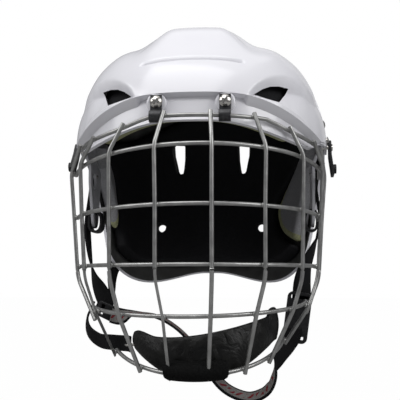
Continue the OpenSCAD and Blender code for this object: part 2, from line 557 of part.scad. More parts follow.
module guard_loop(s) color("#161616") scale([s, 1, 1]) translate([guard_low_x - 0.2, strap_y + loop_w / 2, 41.8]) rotate([90, 0, 0])
  linear_extrude(loop_w) difference() {
    polygon([for (a = [0 : 15 : 345]) [6.7 * pow(abs(cos(a)), 0.8) * sign(cos(a)), 10.2 * pow(abs(sin(a)), 0.8) * sign(sin(a))]]);
    polygon([for (a = [0 : 15 : 345]) [4.6 * pow(abs(cos(a)), 0.8) * sign(cos(a)), 8.1 * pow(abs(sin(a)), 0.8) * sign(sin(a))]]);
  }

// Nape straps hang from the rear shell's lower corners and run forward to the joiner and the buckle
nape_w = 41;
nape_strap_route = [shell_point(224, nape_w, -1.6), shell_point(228, nape_w, -1.5), shell_point(233, nape_w, -1.7),
  shell_point(239, nape_w, -2), shell_point(246, nape_w, -2.4),
  for (p = [[92, 30.5, -10], [90.6, 22, -19], [88.5, 12, -28]]) p + [side_shift, 0, 0]];
nape_strap_look = [[1, 0.5, -0.4], [1, 0.5, -0.4], [1, 0.4, -0.45], [1, 0.3, -0.45], [1, 0.25, -0.45], [1, 0.4, -0.2], [1, 0.5, 0.1],
  [1, 0.5, 0.2]];
module at_nape(s) let (
  p = shell_point(228, nape_w, 0) - [0, 0, shell_mid_z],
  n = unit([pow(p.x / shell_half_w, 1.4) / shell_half_w, pow(p.y / shell_half_l, 1.4) / shell_half_l,
    -pow(-p.z / nape_depth, 1.4) / nape_depth]))
  scale([s, 1, 1]) translate(p + [0, 0, shell_mid_z]) rotate([0, acos(n.z), atan2(n.y, n.x)]) children();
module nape_strap(s) color("#161616") difference() {
  scale([s, 1, 1]) band(nape_strap_route, nape_strap_look, strap_w - 2, strap_t);
  at_nape(s) translate([0, 0, -8]) cylinder(r = rivet_r + 0.1, h = 16, $fn = 24);
}
module nape_rivets() color("silver") for (s = sides) at_nape(s) {
  translate([0, 0, -4.5]) cylinder(r = rivet_r, h = 7.8, $fn = 24);
  translate([0, 0, 3.1]) cylinder(r1 = rivet_head_r, r2 = rivet_head_r * 0.6, h = 1.2, $fn = 32);
  translate([0, 0, -5]) cylinder(r = 2.4, h = 0.8, $fn = 24);
}

module rounded_plate(size, r) linear_extrude(size.z) hull()
  for (x = [r, size.x - r], y = [r, size.y - r]) translate([x, y]) circle(r = r, $fn = 24);

joiner_at = [-97 - side_shift, -13.5, -42];
joiner_size = [24, 14, 4];
module strap_joiner_left() color("#1b1b1b") translate(joiner_at) rotate([0, 22, -18]) rotate([90, 0, 0]) difference() {
  rounded_plate(joiner_size, 3);
  for (x = [4, 16.5]) translate([x, 2.2, -1]) cube([3.5, joiner_size.y - 4.4, joiner_size.z + 2]);
}
buckle_at = [70.5 + side_shift, -26, -64];
buckle_size = [21, 44, 9];
module strap_buckle_right() color("#1b1b1b") translate(buckle_at) rotate([0, 8, 0]) rotate([90, 0, 0]) difference() {
  rounded_plate(buckle_size, 5);
  translate([3, buckle_size.y - 6, -1]) cube([buckle_size.x - 6, 3, buckle_size.z + 2]);
  translate([3, 3, -1]) cube([buckle_size.x - 6, 3, buckle_size.z + 2]);
}

// Chin strap: from the joiner under the chin, in a loop, and up to the buckle
chin_strap_route = [[-81.1, -24.1, -41.9], [-77, -25.6, -43], [-70, -29.5, -43.5], [-58, -32, -41], [-42, -38, -42],
  [-26, -46, -48], [-11, -52, -59], [3, -56, -76], [14, -58, -92], [26, -60, -102.5], [42, -61, -107.6], [56, -60, -103.5],
  [63.5, -57, -94], [66, -51, -84], [70.5, -42.5, -75], [76.5, -36.6, -66.5], [79, -36.2, -60], [80.2, -36.2, -53]];
chin_strap_look = [[-0.309, -0.951, 0], [-0.309, -0.951, 0], [-0.2, -0.8, 0.5], [0.05, -0.25, 1], [0.1, -0.1, 1],
  [0.4, -0.2, 1], [0.6, -0.3, 0.9], [0.9, -0.4, 0.6], [0.8, -0.5, 0.6], [0.4, -0.5, 0.8], [0, -0.5, 0.9],
  [-0.6, -0.5, 0.7], [-0.9, -0.4, 0.3], [-0.9, -0.5, 0.2], [-0.6, -0.8, 0.2], [-0.1, -1, 0], [0, -1, 0], [0, -1, 0]];
module chin_strap() color("#161616") band([for (p = chin_strap_route) spread(p)], chin_strap_look, strap_w - 1, strap_t - 0.2);

// Rubber tabs on the shell's sides, each turning on a rivet, with a stud at the free end
tab_y = -22;
tab_z = 107;
tab_x = shell_x(tab_y, tab_z, 0) + 1.3;
tab_w = 13;
tab_l = 26;
tab_t = 2.4;
tab_rivet_r = 1.75;
tab_lean = [34, 8];
tab_flare = [1, 2];
module at_tabs(i) for (k = i == 0 ? [0, 1] : i < 0 ? [0] : [1]) scale([sides[k], 1, 1])
  translate([tab_x, tab_y, tab_z]) rotate([0, 90, 0]) children();
module side_tab(s) let (k = s < 0 ? 0 : 1) color("#1a1a1a") scale([s, 1, 1])
  translate([tab_x, tab_y, tab_z]) rotate([-tab_lean[k], 0, 0]) difference() {
    union() {
      rotate([0, 90, 0]) cylinder(r = tab_w / 2, h = tab_t, $fn = 32);
      translate([0, tab_w / 2, 0]) rotate([90, 0, 0]) linear_extrude(tab_w)
        polygon([[0, 0], [tab_t, 0], [tab_t, -8], [tab_t + tab_flare[k], -tab_l], [tab_flare[k], -tab_l], [0, -8]]);
      translate([tab_flare[k] * 0.8 - 0.2, 0, -tab_l + 6]) rotate([0, 90, 0]) cylinder(r = 4.2, h = tab_t + 2.6, $fn = 32);
    }
    translate([-1, 0, 0]) rotate([0, 90, 0]) cylinder(r = tab_rivet_r + 0.06, h = 10, $fn = 32);
  }
module side_tab_left() side_tab(-1);
module side_tab_right() side_tab(1);
module side_tab_rivets() color("silver") at_tabs(0) {
  translate([0, 0, -5]) cylinder(r = tab_rivet_r, h = tab_t + 5.3, $fn = 32);
  translate([0, 0, tab_t + 0.1]) cylinder(r1 = 3.6, r2 = 2.8, h = 1.3, $fn = 32);
  translate([0, 0, -5.8]) cylinder(r = 3.4, h = 1.2, $fn = 32);
}

// Chin cup: a bowl behind the lowest wire, higher at the viewer's right, placed in the cage's frame
cup_half_w = 61;
cup_deep = 62;
cup_front = row_back[5] + 8;
cup_mid_x = 3;
cup_t = 5;
cup_bulge = 3;
cup_cols = 16;
cup_rows = 5;
cup_left_q = -0.88;
cup_right_q = 0.97;
cup_arc = 78;
function cup_top_z(q) = -54.3 + 16.5 * smooth(-0.45, 0.95, q) + 3.8 * smooth(0.5, 0.76, -q) * (1 - smooth(0.78, 0.95, -q));
function cup_low_z(q) = -88 + 32 * smooth(0.2, 1.3, -q) + 26 * smooth(0, 0.9, q);
function cup_place(q, v, inset) = let (
  z = lerp(cup_low_z(q), cup_top_z(q), v), out = cup_bulge * sin(180 * min(1, v * 0.9)) - inset, g = cup_arc * q)
  [cup_mid_x + (cup_half_w + out) * sin(g) / sin(cup_arc), cup_front + cup_deep + 6 * v - (cup_deep + out) * cos(g), z];
function cup_point(i, j, inset) = cup_place(lerp(cup_left_q, cup_right_q, j / cup_cols), i / cup_rows, inset);
module chin_cup() color("#141414") difference() {
  in_cage() wall_between(
    [for (i = [0 : cup_rows]) [for (j = [0 : cup_cols]) cup_point(i, j, 0)]],
    [for (i = [0 : cup_rows]) [for (j = [0 : cup_cols]) cup_point(i, j, (i == 0 || i == cup_rows) ? cup_t * 0.5 : cup_t)]]);
  at_ring() translate([0, -ring_r, 0]) rotate([0, 90, 0]) translate([0, 0, -8]) cylinder(r = 2, h = 16, $fn = 24);
  at_ring() rotate_extrude($fn = 48) translate([ring_r, 0]) circle(r = ring_wire_r + 0.4, $fn = 24);
}

// Ring through the cup's corner and the end of its strap; local X looks into the cup, Y to the strap
ring_r = 5;
ring_wire_r = 0.8;
ring_turn = cup_arc * cup_left_q + 90;
ring_z = -63.5;
function turned(p, a) = [p.x * cos(a) - p.y * sin(a), p.x * sin(a) + p.y * cos(a), p.z];
cup_corner = cup_place(cup_left_q, 0.4, cup_t / 2);
ring_in_cage = [cup_corner.x, cup_corner.y, ring_z] + turned([-2.5, -1.2, 0], ring_turn);
ring_at = [0, cage_axis_y, 0] + turned(ring_in_cage - [0, cage_reach, 0], cage_turn);
module at_ring() translate(ring_at) rotate([0, 0, ring_turn + cage_turn]) children();
module cup_ring() color("silver") at_ring() rotate_extrude($fn = 48) translate([ring_r, 0]) circle(r = ring_wire_r, $fn = 24);

// The cup's cover wraps the lowest wire and the feet of the bars that stand on it there
sleeve_left_x = -31;
sleeve_right_x = 14;
sleeve_deep = 7.05;
sleeve_out = 0.55;
sleeve_high = 7.6;
sleeve_lift = 2.8;
sleeve_sides = 14;
function sleeve_place(k, n) = row_point(5, lerp(sleeve_left_x, sleeve_right_x, k / n) / row_half[5]);
module sleeve(n) {
  c = [for (k = [0 : n]) sleeve_place(k, n)];
  rings = [for (k = [0 : n]) let (
    go = c[min(k + 1, n)] - c[max(k - 1, 0)], e = unit([go.y, -go.x, 0]), at = c[k] + [0, 0, sleeve_lift] + sleeve_out * e)
    [for (i = [0 : sleeve_sides - 1]) let (a = 360 * i / sleeve_sides)
      at + [sleeve_deep * cos(a) * e.x, sleeve_deep * cos(a) * e.y, sleeve_high * sin(a)]]];
  m = sleeve_sides;
  polyhedron(points = [for (r = rings) each r],
    faces = concat(
      [for (k = [0 : n - 1], i = [0 : m - 1]) let (a = k * m + i, b = k * m + (i + 1) % m) each [[a, b + m, a + m], [a, b, b + m]]],
      [[for (i = [m - 1 : -1 : 0]) i], [for (i = [0 : m - 1]) n * m + i]]),
    convexity = 6);
}
module cup_wrap() color("#141414") difference() {
  in_cage() sleeve(8);
  in_cage() tube([for (k = [-1 : 9]) sleeve_place(k, 8)], wire_r + 0.15, [0, 0, 1]);
  bar_room(0, 1);
  bar_room(1, -1);
}
cup_strap_w = 13;
// The first points hang beside the joiner, the last at the ring
cup_strap_route = concat(
  [for (p = [[-97, -30, -33], [-99.5, -40, -46], [-95, -49, -56], [-84, -57, -62.5]]) p - [side_shift, 0, 0]],
  [for (p = [[-16.4, 20.3, 0.5], [-6, 15.9, 0], [-1.8, 9.9, 0], [-0.9, 3.3, 0]]) ring_at + turned(p, cage_turn)]);
cup_strap_look = [[-0.9, -0.4, 0.2], [-0.9, -0.4, -0.1], [-0.7, -0.6, -0.3], [-0.5, -0.8, -0.3], [-0.5, -0.86, -0.1],
  [-0.7, -0.7, 0], [-0.85, -0.52, 0], [-0.85, -0.52, 0]];
module cup_strap_left() color("#161616") difference() {
  band(cup_strap_route, cup_strap_look, cup_strap_w, strap_t);
  at_ring() translate([0, ring_r, 0]) rotate([0, 90, 0]) translate([0, 0, -6]) cylinder(r = 1.3, h = 12, $fn = 24);
}

front_shell();
rear_shell();
forehead_pad();
crown_pad();
rear_crown_pad();
occipital_pad();
temple_pad_left();
temple_pad_right();
cross_wire(0);  // cage_wire_1
cross_wire(1);  // cage_wire_2
cross_wire(2);  // cage_wire_3
cross_wire(3);  // cage_wire_4
cross_wire(4);  // cage_wire_5
cross_wire(5);  // cage_wire_6
cage_bar(0, 1);  // cage_bar_center
cage_bar(1, -1);  // cage_bar_left_1
cage_bar(2, -1);  // cage_bar_left_2
cage_bar(3, -1);  // cage_bar_left_3
cage_bar(4, -1);  // cage_bar_left_4
cage_bar(1, 1);  // cage_bar_right_1
cage_bar(2, 1);  // cage_bar_right_2
cage_bar(3, 1);  // cage_bar_right_3
cage_bar(4, 1);  // cage_bar_right_4
cage_clip(-1);  // cage_clip_left
cage_clip(1);  // cage_clip_right
clip_screws();
clip_nuts();
ear_guard(-1);  // ear_guard_left
ear_guard(1);  // ear_guard_right
ear_guard_screws();
size_screws();
size_nuts();
ear_strap(-1);  // ear_strap_left
ear_strap(1);  // ear_strap_right
strap_rivets();
guard_loop(-1);  // guard_loop_left
guard_loop(1);  // guard_loop_right
nape_strap(-1);  // nape_strap_left
nape_strap(1);  // nape_strap_right
strap_joiner_left();
strap_buckle_right();
chin_strap();
chin_cup();
side_tab_left();
side_tab_right();
side_tab_rivets();
cup_wrap();
cup_strap_left();
cup_ring();
nape_rivets();
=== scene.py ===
import math
import bpy
from mathutils import Vector, Matrix


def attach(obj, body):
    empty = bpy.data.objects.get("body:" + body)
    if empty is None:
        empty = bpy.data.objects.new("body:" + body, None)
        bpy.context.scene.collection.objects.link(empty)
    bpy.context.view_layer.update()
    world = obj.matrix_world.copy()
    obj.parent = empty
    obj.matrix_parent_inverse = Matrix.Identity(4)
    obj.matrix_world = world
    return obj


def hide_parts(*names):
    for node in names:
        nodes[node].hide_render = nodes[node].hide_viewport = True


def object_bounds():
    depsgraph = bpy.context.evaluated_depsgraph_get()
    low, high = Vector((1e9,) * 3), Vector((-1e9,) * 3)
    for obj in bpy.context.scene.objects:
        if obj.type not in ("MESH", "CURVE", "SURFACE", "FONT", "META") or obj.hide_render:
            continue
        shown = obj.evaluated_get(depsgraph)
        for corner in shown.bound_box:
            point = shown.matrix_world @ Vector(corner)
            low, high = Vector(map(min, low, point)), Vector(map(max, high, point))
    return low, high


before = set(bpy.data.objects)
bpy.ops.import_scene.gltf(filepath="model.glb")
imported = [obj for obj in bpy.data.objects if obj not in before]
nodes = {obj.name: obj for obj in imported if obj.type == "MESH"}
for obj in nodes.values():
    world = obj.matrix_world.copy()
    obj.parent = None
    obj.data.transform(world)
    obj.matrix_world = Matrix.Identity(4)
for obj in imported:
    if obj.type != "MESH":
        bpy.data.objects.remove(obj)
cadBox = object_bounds()
print("loaded", len(nodes), "nodes")

# camera at the photograph's place: a little to the right, near the middle of the cage's height, and
# looking slightly up
photoView = {"place": (0.0545, -0.7047, -0.012), "turn": 4.7, "lookUp": 6.056, "lens": 68.517}
bpy.ops.object.camera_add(location=photoView["place"])
camera = bpy.context.object
camera.data.lens = photoView["lens"]
camera.data.sensor_width = 36
turn, lookUp = math.radians(photoView["turn"]), math.radians(photoView["lookUp"])
look = Vector((-math.sin(turn) * math.cos(lookUp), math.cos(turn) * math.cos(lookUp), math.sin(lookUp)))
camera.rotation_euler = look.to_track_quat("-Z", "Y").to_euler()
bpy.context.scene.camera = camera
bpy.context.scene.view_settings.view_transform = "Standard"

mm = 0.001


def smooth(a, b, v):
    t = max(0.0, min(1.0, (v - a) / (b - a)))
    return t * t * (3 - 2 * t)


def lerp(a, b, t):
    return a + (b - a) * t


def along(table, x):  # straight line between the points of a table
    if x <= table[0][0]:
        return table[0][1]
    for (xa, ya), (xb, yb) in zip(table, table[1:]):
        if x <= xb:
            return lerp(ya, yb, (x - xa) / (xb - xa))
    return table[-1][1]


def only(obj):  # nothing else selected
    bpy.ops.object.select_all(action="DESELECT")
    obj.select_set(True)
    bpy.context.view_layer.objects.active = obj


def applyAll(obj):
    only(obj)
    for m in list(obj.modifiers):
        bpy.ops.object.modifier_apply(modifier=m.name)
    return obj


def addModifier(obj, kind, **values):
    m = obj.modifiers.new(kind.lower(), kind)
    for k, v in values.items():
        setattr(m, k, v)


def thicken(obj, thick, offset=-1, levels=0):  # a wall, and a rounded surface where levels are given
    addModifier(obj, "SOLIDIFY", thickness=thick * mm, offset=offset, use_even_offset=True)
    if levels:
        addModifier(obj, "SUBSURF", levels=levels, render_levels=levels)
    applyAll(obj)


def roundEdges(obj, width, segments, angle):  # the edges sharper than an angle
    addModifier(obj, "BEVEL", width=width * mm, segments=segments, limit_method="ANGLE",
                angle_limit=math.radians(angle))
    return applyAll(obj)


def facesOut(obj):  # on a closed mesh
    only(obj)
    bpy.ops.object.mode_set(mode="EDIT")
    bpy.ops.mesh.select_all(action="SELECT")
    bpy.ops.mesh.normals_make_consistent(inside=False)
    bpy.ops.object.mode_set(mode="OBJECT")
    return obj


def finishPiece(obj, name, body, material, stands=(), angle=35):
    obj.name = name
    obj.data.name = name
    obj.data.materials.clear()
    obj.data.materials.append(material)
    only(obj)
    bpy.ops.object.shade_smooth_by_angle(angle=math.radians(angle))
    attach(obj, body)
    if stands:
        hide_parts(*stands)


# materials


def newMaterial(name, colour, rough, metal=0.0, **extra):
    m = bpy.data.materials.new(name)
    m.use_nodes = True
    shader = m.node_tree.nodes["Principled BSDF"]
    shader.inputs["Base Color"].default_value = (*colour, 1)
    shader.inputs["Roughness"].default_value = rough
    shader.inputs["Metallic"].default_value = metal
    for k, v in extra.items():
        shader.inputs[k].default_value = v
    return m


def objectNoise(m, scale, detail):
    tree = m.node_tree
    where = tree.nodes.new("ShaderNodeTexCoord")
    noise = tree.nodes.new("ShaderNodeTexNoise")
    noise.inputs["Scale"].default_value = scale
    noise.inputs["Detail"].default_value = detail
    tree.links.new(where.outputs["Object"], noise.inputs["Vector"])
    return noise


def tint(m, noise, dark, light):  # colour that drifts between two shades
    tree = m.node_tree
    ramp = tree.nodes.new("ShaderNodeValToRGB")
    for stop, at, shade in zip(ramp.color_ramp.elements, (0.3, 0.7), (dark, light)):
        stop.position = at
        stop.color = (*shade, 1)
    tree.links.new(noise.outputs["Fac"], ramp.inputs["Fac"])
    tree.links.new(ramp.outputs["Color"], tree.nodes["Principled BSDF"].inputs["Base Color"])


def roughen(m, noise, low, high):
    tree = m.node_tree
    span = tree.nodes.new("ShaderNodeMapRange")
    span.inputs["To Min"].default_value = low
    span.inputs["To Max"].default_value = high
    tree.links.new(noise.outputs["Fac"], span.inputs["Value"])
    tree.links.new(span.outputs["Result"], tree.nodes["Principled BSDF"].inputs["Roughness"])


def bumpFrom(m, socket, distance, strength):
    tree = m.node_tree
    bump = tree.nodes.new("ShaderNodeBump")
    bump.inputs["Distance"].default_value = distance
    bump.inputs["Strength"].default_value = strength
    tree.links.new(socket, bump.inputs["Height"])
    tree.links.new(bump.outputs["Normal"], tree.nodes["Principled BSDF"].inputs["Normal"])


finishes = {
    "shellWhite": (0.80, 0.795, 0.83), "shellShade": (0.75, 0.745, 0.785),
    "cageGrey": (0.29, 0.29, 0.283), "cageBright": (0.42, 0.42, 0.41),
    "padGreyAndShade": (0.27, 0.27, 0.28), "padGreenAndShade": (0.25, 0.255, 0.13),
    "blackPlastic": (0.016, 0.016, 0.017),
}

shellGloss = newMaterial("glossy white shell", finishes["shellWhite"], 0.2,
                         **{"Coat Weight": 0.22, "Coat Roughness": 0.08})
grain = objectNoise(shellGloss, 9, 2)
tint(shellGloss, grain, finishes["shellShade"], finishes["shellWhite"])
grain = objectNoise(shellGloss, 260, 2)
bumpFrom(shellGloss, grain.outputs["Fac"], 0.00005, 0.5)

# painted shade: the white plastic inside the shell is coloured dark grey to stand for the shadow it lies in
shellInsidePaintedShade = newMaterial("inside of the shell painted dark as shade", (0.075, 0.075, 0.073), 0.55)
grain = objectNoise(shellInsidePaintedShade, 60, 3)
tint(shellInsidePaintedShade, grain, (0.06, 0.06, 0.058), (0.095, 0.095, 0.092))
bumpFrom(shellInsidePaintedShade, objectNoise(shellInsidePaintedShade, 700, 2).outputs["Fac"], 0.0001, 0.5)

guardGloss = newMaterial("white ear guard", (0.5, 0.5, 0.52), 0.34)
grain = objectNoise(guardGloss, 40, 3)
tint(guardGloss, grain, (0.42, 0.42, 0.44), (0.55, 0.55, 0.58))
bumpFrom(guardGloss, objectNoise(guardGloss, 900, 2).outputs["Fac"], 0.00006, 0.6)

foamBlack = newMaterial("black closed cell foam", (0.009, 0.009, 0.010), 0.85, **{"Specular IOR Level": 0.25})
grain = objectNoise(foamBlack, 1400, 4)
tint(foamBlack, grain, (0.004, 0.004, 0.005), (0.016, 0.016, 0.018))
bumpFrom(foamBlack, grain.outputs["Fac"], 0.0004, 0.5)

# light grey temple foam, its colour darkened as painted shade for the helmet's shaded inside
padGreyAndShade = newMaterial("grey temple foam darkened as painted shade", finishes["padGreyAndShade"], 0.62)
grain = objectNoise(padGreyAndShade, 700, 3)
tint(padGreyAndShade, grain, (0.2, 0.2, 0.21), finishes["padGreyAndShade"])
bumpFrom(padGreyAndShade, grain.outputs["Fac"], 0.00025, 0.45)

# pale green foam edge, its colour darkened as painted shade for the helmet's shaded inside
padEdgeAndShade = newMaterial("pale green pad edge darkened as painted shade", finishes["padGreenAndShade"], 0.7)
grain = objectNoise(padEdgeAndShade, 500, 3)
tint(padEdgeAndShade, grain, (0.2, 0.205, 0.1), (0.34, 0.345, 0.2))
bumpFrom(padEdgeAndShade, grain.outputs["Fac"], 0.0002, 0.4)

cageSteel = newMaterial("satin cage wire", finishes["cageGrey"], 0.36, 0.85)
grain = objectNoise(cageSteel, 120, 4)
tint(cageSteel, grain, finishes["cageGrey"], finishes["cageBright"])
roughen(cageSteel, grain, 0.26, 0.44)
bumpFrom(cageSteel, objectNoise(cageSteel, 1500, 2).outputs["Fac"], 0.00004, 0.5)

clipDark = newMaterial("dark coated clip", (0.035, 0.035, 0.038), 0.4, 0.4)
grain = objectNoise(clipDark, 600, 3)
tint(clipDark, grain, (0.022, 0.022, 0.024), (0.055, 0.055, 0.058))
bumpFrom(clipDark, grain.outputs["Fac"], 0.00005, 0.5)

chrome = newMaterial("plated screw", (0.62, 0.60, 0.57), 0.2, 1.0)
grain = objectNoise(chrome, 800, 3)
tint(chrome, grain, (0.45, 0.43, 0.40), (0.70, 0.68, 0.65))
roughen(chrome, grain, 0.12, 0.3)

rubberBlack = newMaterial("black rubber tab", (0.02, 0.02, 0.021), 0.5, **{"Specular IOR Level": 0.3})
grain = objectNoise(rubberBlack, 500, 3)
tint(rubberBlack, grain, (0.008, 0.008, 0.009), (0.018, 0.018, 0.019))
bumpFrom(rubberBlack, grain.outputs["Fac"], 0.0001, 0.5)

plasticBlack = newMaterial("black moulded buckle", finishes["blackPlastic"], 0.38,
                           **{"Specular IOR Level": 0.3})
grain = objectNoise(plasticBlack, 450, 3)
tint(plasticBlack, grain, (0.006, 0.006, 0.007), (0.016, 0.016, 0.017))
bumpFrom(plasticBlack, grain.outputs["Fac"], 0.00008, 0.5)

cupCover = newMaterial("black cup cover", (0.006, 0.006, 0.006), 0.3, **{"Specular IOR Level": 0.22})
grain = objectNoise(cupCover, 70, 8)
grain.inputs["Distortion"].default_value = 1.6
tint(cupCover, grain, (0.004, 0.004, 0.004), (0.010, 0.010, 0.009))
roughen(cupCover, grain, 0.12, 0.55)
bumpFrom(cupCover, grain.outputs["Fac"], 0.0022, 0.7)

sleeveCloth = newMaterial("black sleeve cloth", (0.004, 0.004, 0.004), 0.8, **{"Specular IOR Level": 0.1})
grain = objectNoise(sleeveCloth, 700, 4)
tint(sleeveCloth, grain, (0.002, 0.002, 0.002), (0.007, 0.007, 0.007))
bumpFrom(sleeveCloth, grain.outputs["Fac"], 0.0004, 0.6)


weave = {"warp": 38.0, "weft": 48.0, "slant": 19.0}  # waves in radians for each centimetre


def webbingMaterial(name, dark, light, pattern=None):  # twill weave along the band, in the piece's own map
    m = newMaterial(name, light, 0.75, **{"Specular IOR Level": 0.12})
    tree = m.node_tree
    links = tree.links.new
    uv = tree.nodes.new("ShaderNodeUVMap")
    split = tree.nodes.new("ShaderNodeSeparateXYZ")
    links(uv.outputs["UV"], split.inputs["Vector"])

    def number(kind, a, b=None):
        node = tree.nodes.new("ShaderNodeMath")
        node.operation = kind
        for k, v in enumerate((a, b)):
            if v is None:
                continue
            if isinstance(v, (int, float)):
                node.inputs[k].default_value = v
            else:
                links(v, node.inputs[k])
        return node.outputs[0]

    across, run = split.outputs["X"], split.outputs["Y"]  # the map is in centimetres
    warp = number("SINE", number("MULTIPLY", across, weave["warp"]))
    weft = number("SINE", number("ADD", number("MULTIPLY", run, weave["weft"]),
                                 number("MULTIPLY", across, weave["slant"])))
    height = number("MULTIPLY", number("ADD", number("MULTIPLY", warp, weft), 1.0), 0.5)
    mix = tree.nodes.new("ShaderNodeMix")
    mix.data_type = "RGBA"
    mix.inputs["A"].default_value = (*dark, 1)
    mix.inputs["B"].default_value = (*light, 1)
    links(height, mix.inputs["Factor"])
    colour = mix.outputs["Result"]
    if pattern:  # bits of colour woven along the middle, and black borders
        strokes = number("SINE", number("ADD", number("MULTIPLY", run, pattern["strokes"]),
                                        number("MULTIPLY", across, pattern["slant"])))
        bits = number("MULTIPLY", strokes, number("SINE", number("MULTIPLY", run, pattern["groups"])))
        line = number("GREATER_THAN", bits, pattern["above"])
        fromMiddle = number("ABSOLUTE", number("SUBTRACT", across, pattern["middle"]))
        both = number("MULTIPLY", line, number("LESS_THAN", fromMiddle, pattern["halfWidth"]))
        border = number("GREATER_THAN", fromMiddle, pattern["borderFrom"])
        for part, shade in ((both, pattern["colour"]), (border, pattern["border"])):
            over = tree.nodes.new("ShaderNodeMix")
            over.data_type = "RGBA"
            links(part, over.inputs["Factor"])
            links(colour, over.inputs["A"])
            over.inputs["B"].default_value = (*shade, 1)
            colour = over.outputs["Result"]
    links(colour, tree.nodes["Principled BSDF"].inputs["Base Color"])
    bumpFrom(m, height, 0.0002, 0.6)
    return m


webbing = webbingMaterial("black webbing", (0.003, 0.003, 0.0035), (0.011, 0.011, 0.012))
wovenBits = {"middle": 0.75, "halfWidth": 0.3, "borderFrom": 0.56,  # centimetres across the band
             "strokes": 8.5, "slant": 7.0, "groups": 3.7, "above": 0.22,
             "colour": (0.16, 0.02, 0.025), "border": (0.006, 0.006, 0.007)}
webbingPatterned = webbingMaterial("grey side of the webbing", (0.13, 0.125, 0.12), (0.25, 0.24, 0.23),
                                   wovenBits)
print("materials made")

# shell: the same curves as the solids, with the moulded lines that the photograph shows

shell = {"halfW": 113.5, "halfL": 136.0, "midZ": 97.0, "rise": 105.5, "nape": 150.0, "power": 2.4,
         "wall": 2.8, "ridge": 12.2, "ridgeFade": (19, 54), "ridgeUp": (0.3, 0.8),
         "shoulder": 4.0, "shoulderIn": (42, 70), "shoulderOut": (84, 110), "shoulderUp": (0.15, 0.55),
         "raisedFrom": (-118, -70), "browAngle": 14.8, "browSink": 6.0, "ear": 84.0}


def shellDir(u, w):
    return Vector((math.sin(w), -math.cos(w) * math.cos(u), math.cos(w) * math.sin(u)))


def shellReach(d, inset):
    n = shell["power"]
    up = shell["rise"] if d.z > 0 else shell["nape"]
    return (abs(d.x / (shell["halfW"] - inset)) ** n + abs(d.y / (shell["halfL"] - inset)) ** n
            + abs(d.z / (up - inset)) ** n) ** (-1 / n)


def shellPoint(u, w, inset):  # angles in degrees, lengths in millimetres
    d = shellDir(math.radians(u), math.radians(w))
    p = d * shellReach(d, inset)
    a = abs(p.x)
    crown = shell["ridge"] * (1 - smooth(*shell["ridgeFade"], a)) * smooth(*shell["ridgeUp"], d.z)
    side = shell["shoulder"] * smooth(*shell["shoulderIn"], a) * (1 - smooth(*shell["shoulderOut"], a))
    raised = crown + side * smooth(*shell["shoulderUp"], d.z)
    return p + Vector((0, 0, shell["midZ"] + smooth(*shell["raisedFrom"], p.y) * raised))


def frontLow(w):
    a = abs(w)
    return 6.4 - 6.6 * smooth(6, 50, a) + 8 * smooth(50, 64, a) + 18 * smooth(64, 84, a)


def rearEnd(w):
    a = abs(w)
    return 222.3 + 23 * smooth(2, 46, a) - 23.3 * smooth(44, 62, a) - 40 * smooth(60, 84, a)


def browLine(w):
    return max(shell["browAngle"] + 0.6 - 9.6 * smooth(14, 66, abs(w)), frontLow(w) + 1.6)


def browSlope(w):  # the step under the brow is sharp at the middle and slopes in over the temples
    return min(lerp(0.45, 2.6, smooth(17.8, 18.9, abs(w))), 0.65 * (browLine(w) - frontLow(w)))


def browInset(w):
    return shell["browSink"] * (1 - smooth(50, 70, abs(w)))


# lines of the temple scoops as seen from the front, brought to one distance: half width, height
scoop = {
    "outer": [(47.2, 142.8), (51.5, 148.8), (57, 153.3), (63, 156.2), (69.5, 157.8), (77.3, 157.2), (84, 154),
              (89.4, 149.2), (93.5, 143.5), (97.5, 137.5), (102, 129)],
    "inner": [(47.2, 141.8), (51.8, 143.3), (58.3, 147.3), (64.4, 149.4), (71.2, 149.4), (78, 147.4),
              (85, 145), (90, 142.4), (94, 138.2), (98, 132.4), (102, 125)],
    "floor": [(46, 142.2), (50.8, 142.1), (60, 139.3), (72.2, 135.4), (80, 130.5), (88, 123.5), (94, 116),
              (98, 109)],
    "mouth": [(51.4, 142.7), (58.3, 147.1), (64.4, 149.2), (71.2, 149.1), (78.1, 147.0), (75.2, 141),
              (72.2, 135.6), (62, 138.9)],
    "depth": 6.5, "span": (46, 104), "innerEnd": (47, 56), "outerEnd": (95, 104), "shallow": (80, 98),
    "lip": 1.5}


# how far in front the viewer stands, how low, and the one distance that the lines are brought to
seen = {"far": 705, "level": 12, "to": 625}


def seenScale(y):
    return seen["to"] / (seen["far"] + y)


def seenFlat(p):
    k = seenScale(p.y)
    return abs(p.x) * k, (p.z + seen["level"]) * k - seen["level"]


def scoopInset(x, z):
    outer, inner, floor = (along(scoop[k], x) for k in ("outer", "inner", "floor"))
    deep = scoop["depth"] * smooth(*scoop["innerEnd"], x) * (1 - 0.6 * smooth(*scoop["shallow"], x))
    deep *= 1 - smooth(*scoop["outerEnd"], x)
    if z <= floor or z >= outer + scoop["lip"]:
        return 0.0
    if z < inner:
        return deep * ((z - floor) / max(0.5, inner - floor)) ** 0.8
    share = (z - inner) / (outer + scoop["lip"] - inner)
    return deep * (1 - share) ** 1.5


# lines of relief: middle's angle, how far it falls at a half width, angle above it, height, lower edge, depth
groove = {"u": 32.4, "sag": 0.45, "halfW": 41, "above": 0.6, "tall": 3.1, "edge": 0.3, "deep": 3.4,
          "ends": (39.5, 42.5), "rows": (28.8, 33.4)}  # the grid's closer rows lie between these
crownStep = {"u": 61.5, "sag": 13, "halfW": 42, "above": 7, "tall": 12, "edge": 3, "deep": 1.2,
             "ends": (38, 50)}
turnedEdge = {"out": 1.1, "tall": 1.9, "ends": (56, 72)}


def underLine(form, u, x):  # how far a point lies under the upper edge of a line of relief
    return form["u"] - form["sag"] * (x / form["halfW"]) ** 2 + form["above"] - u


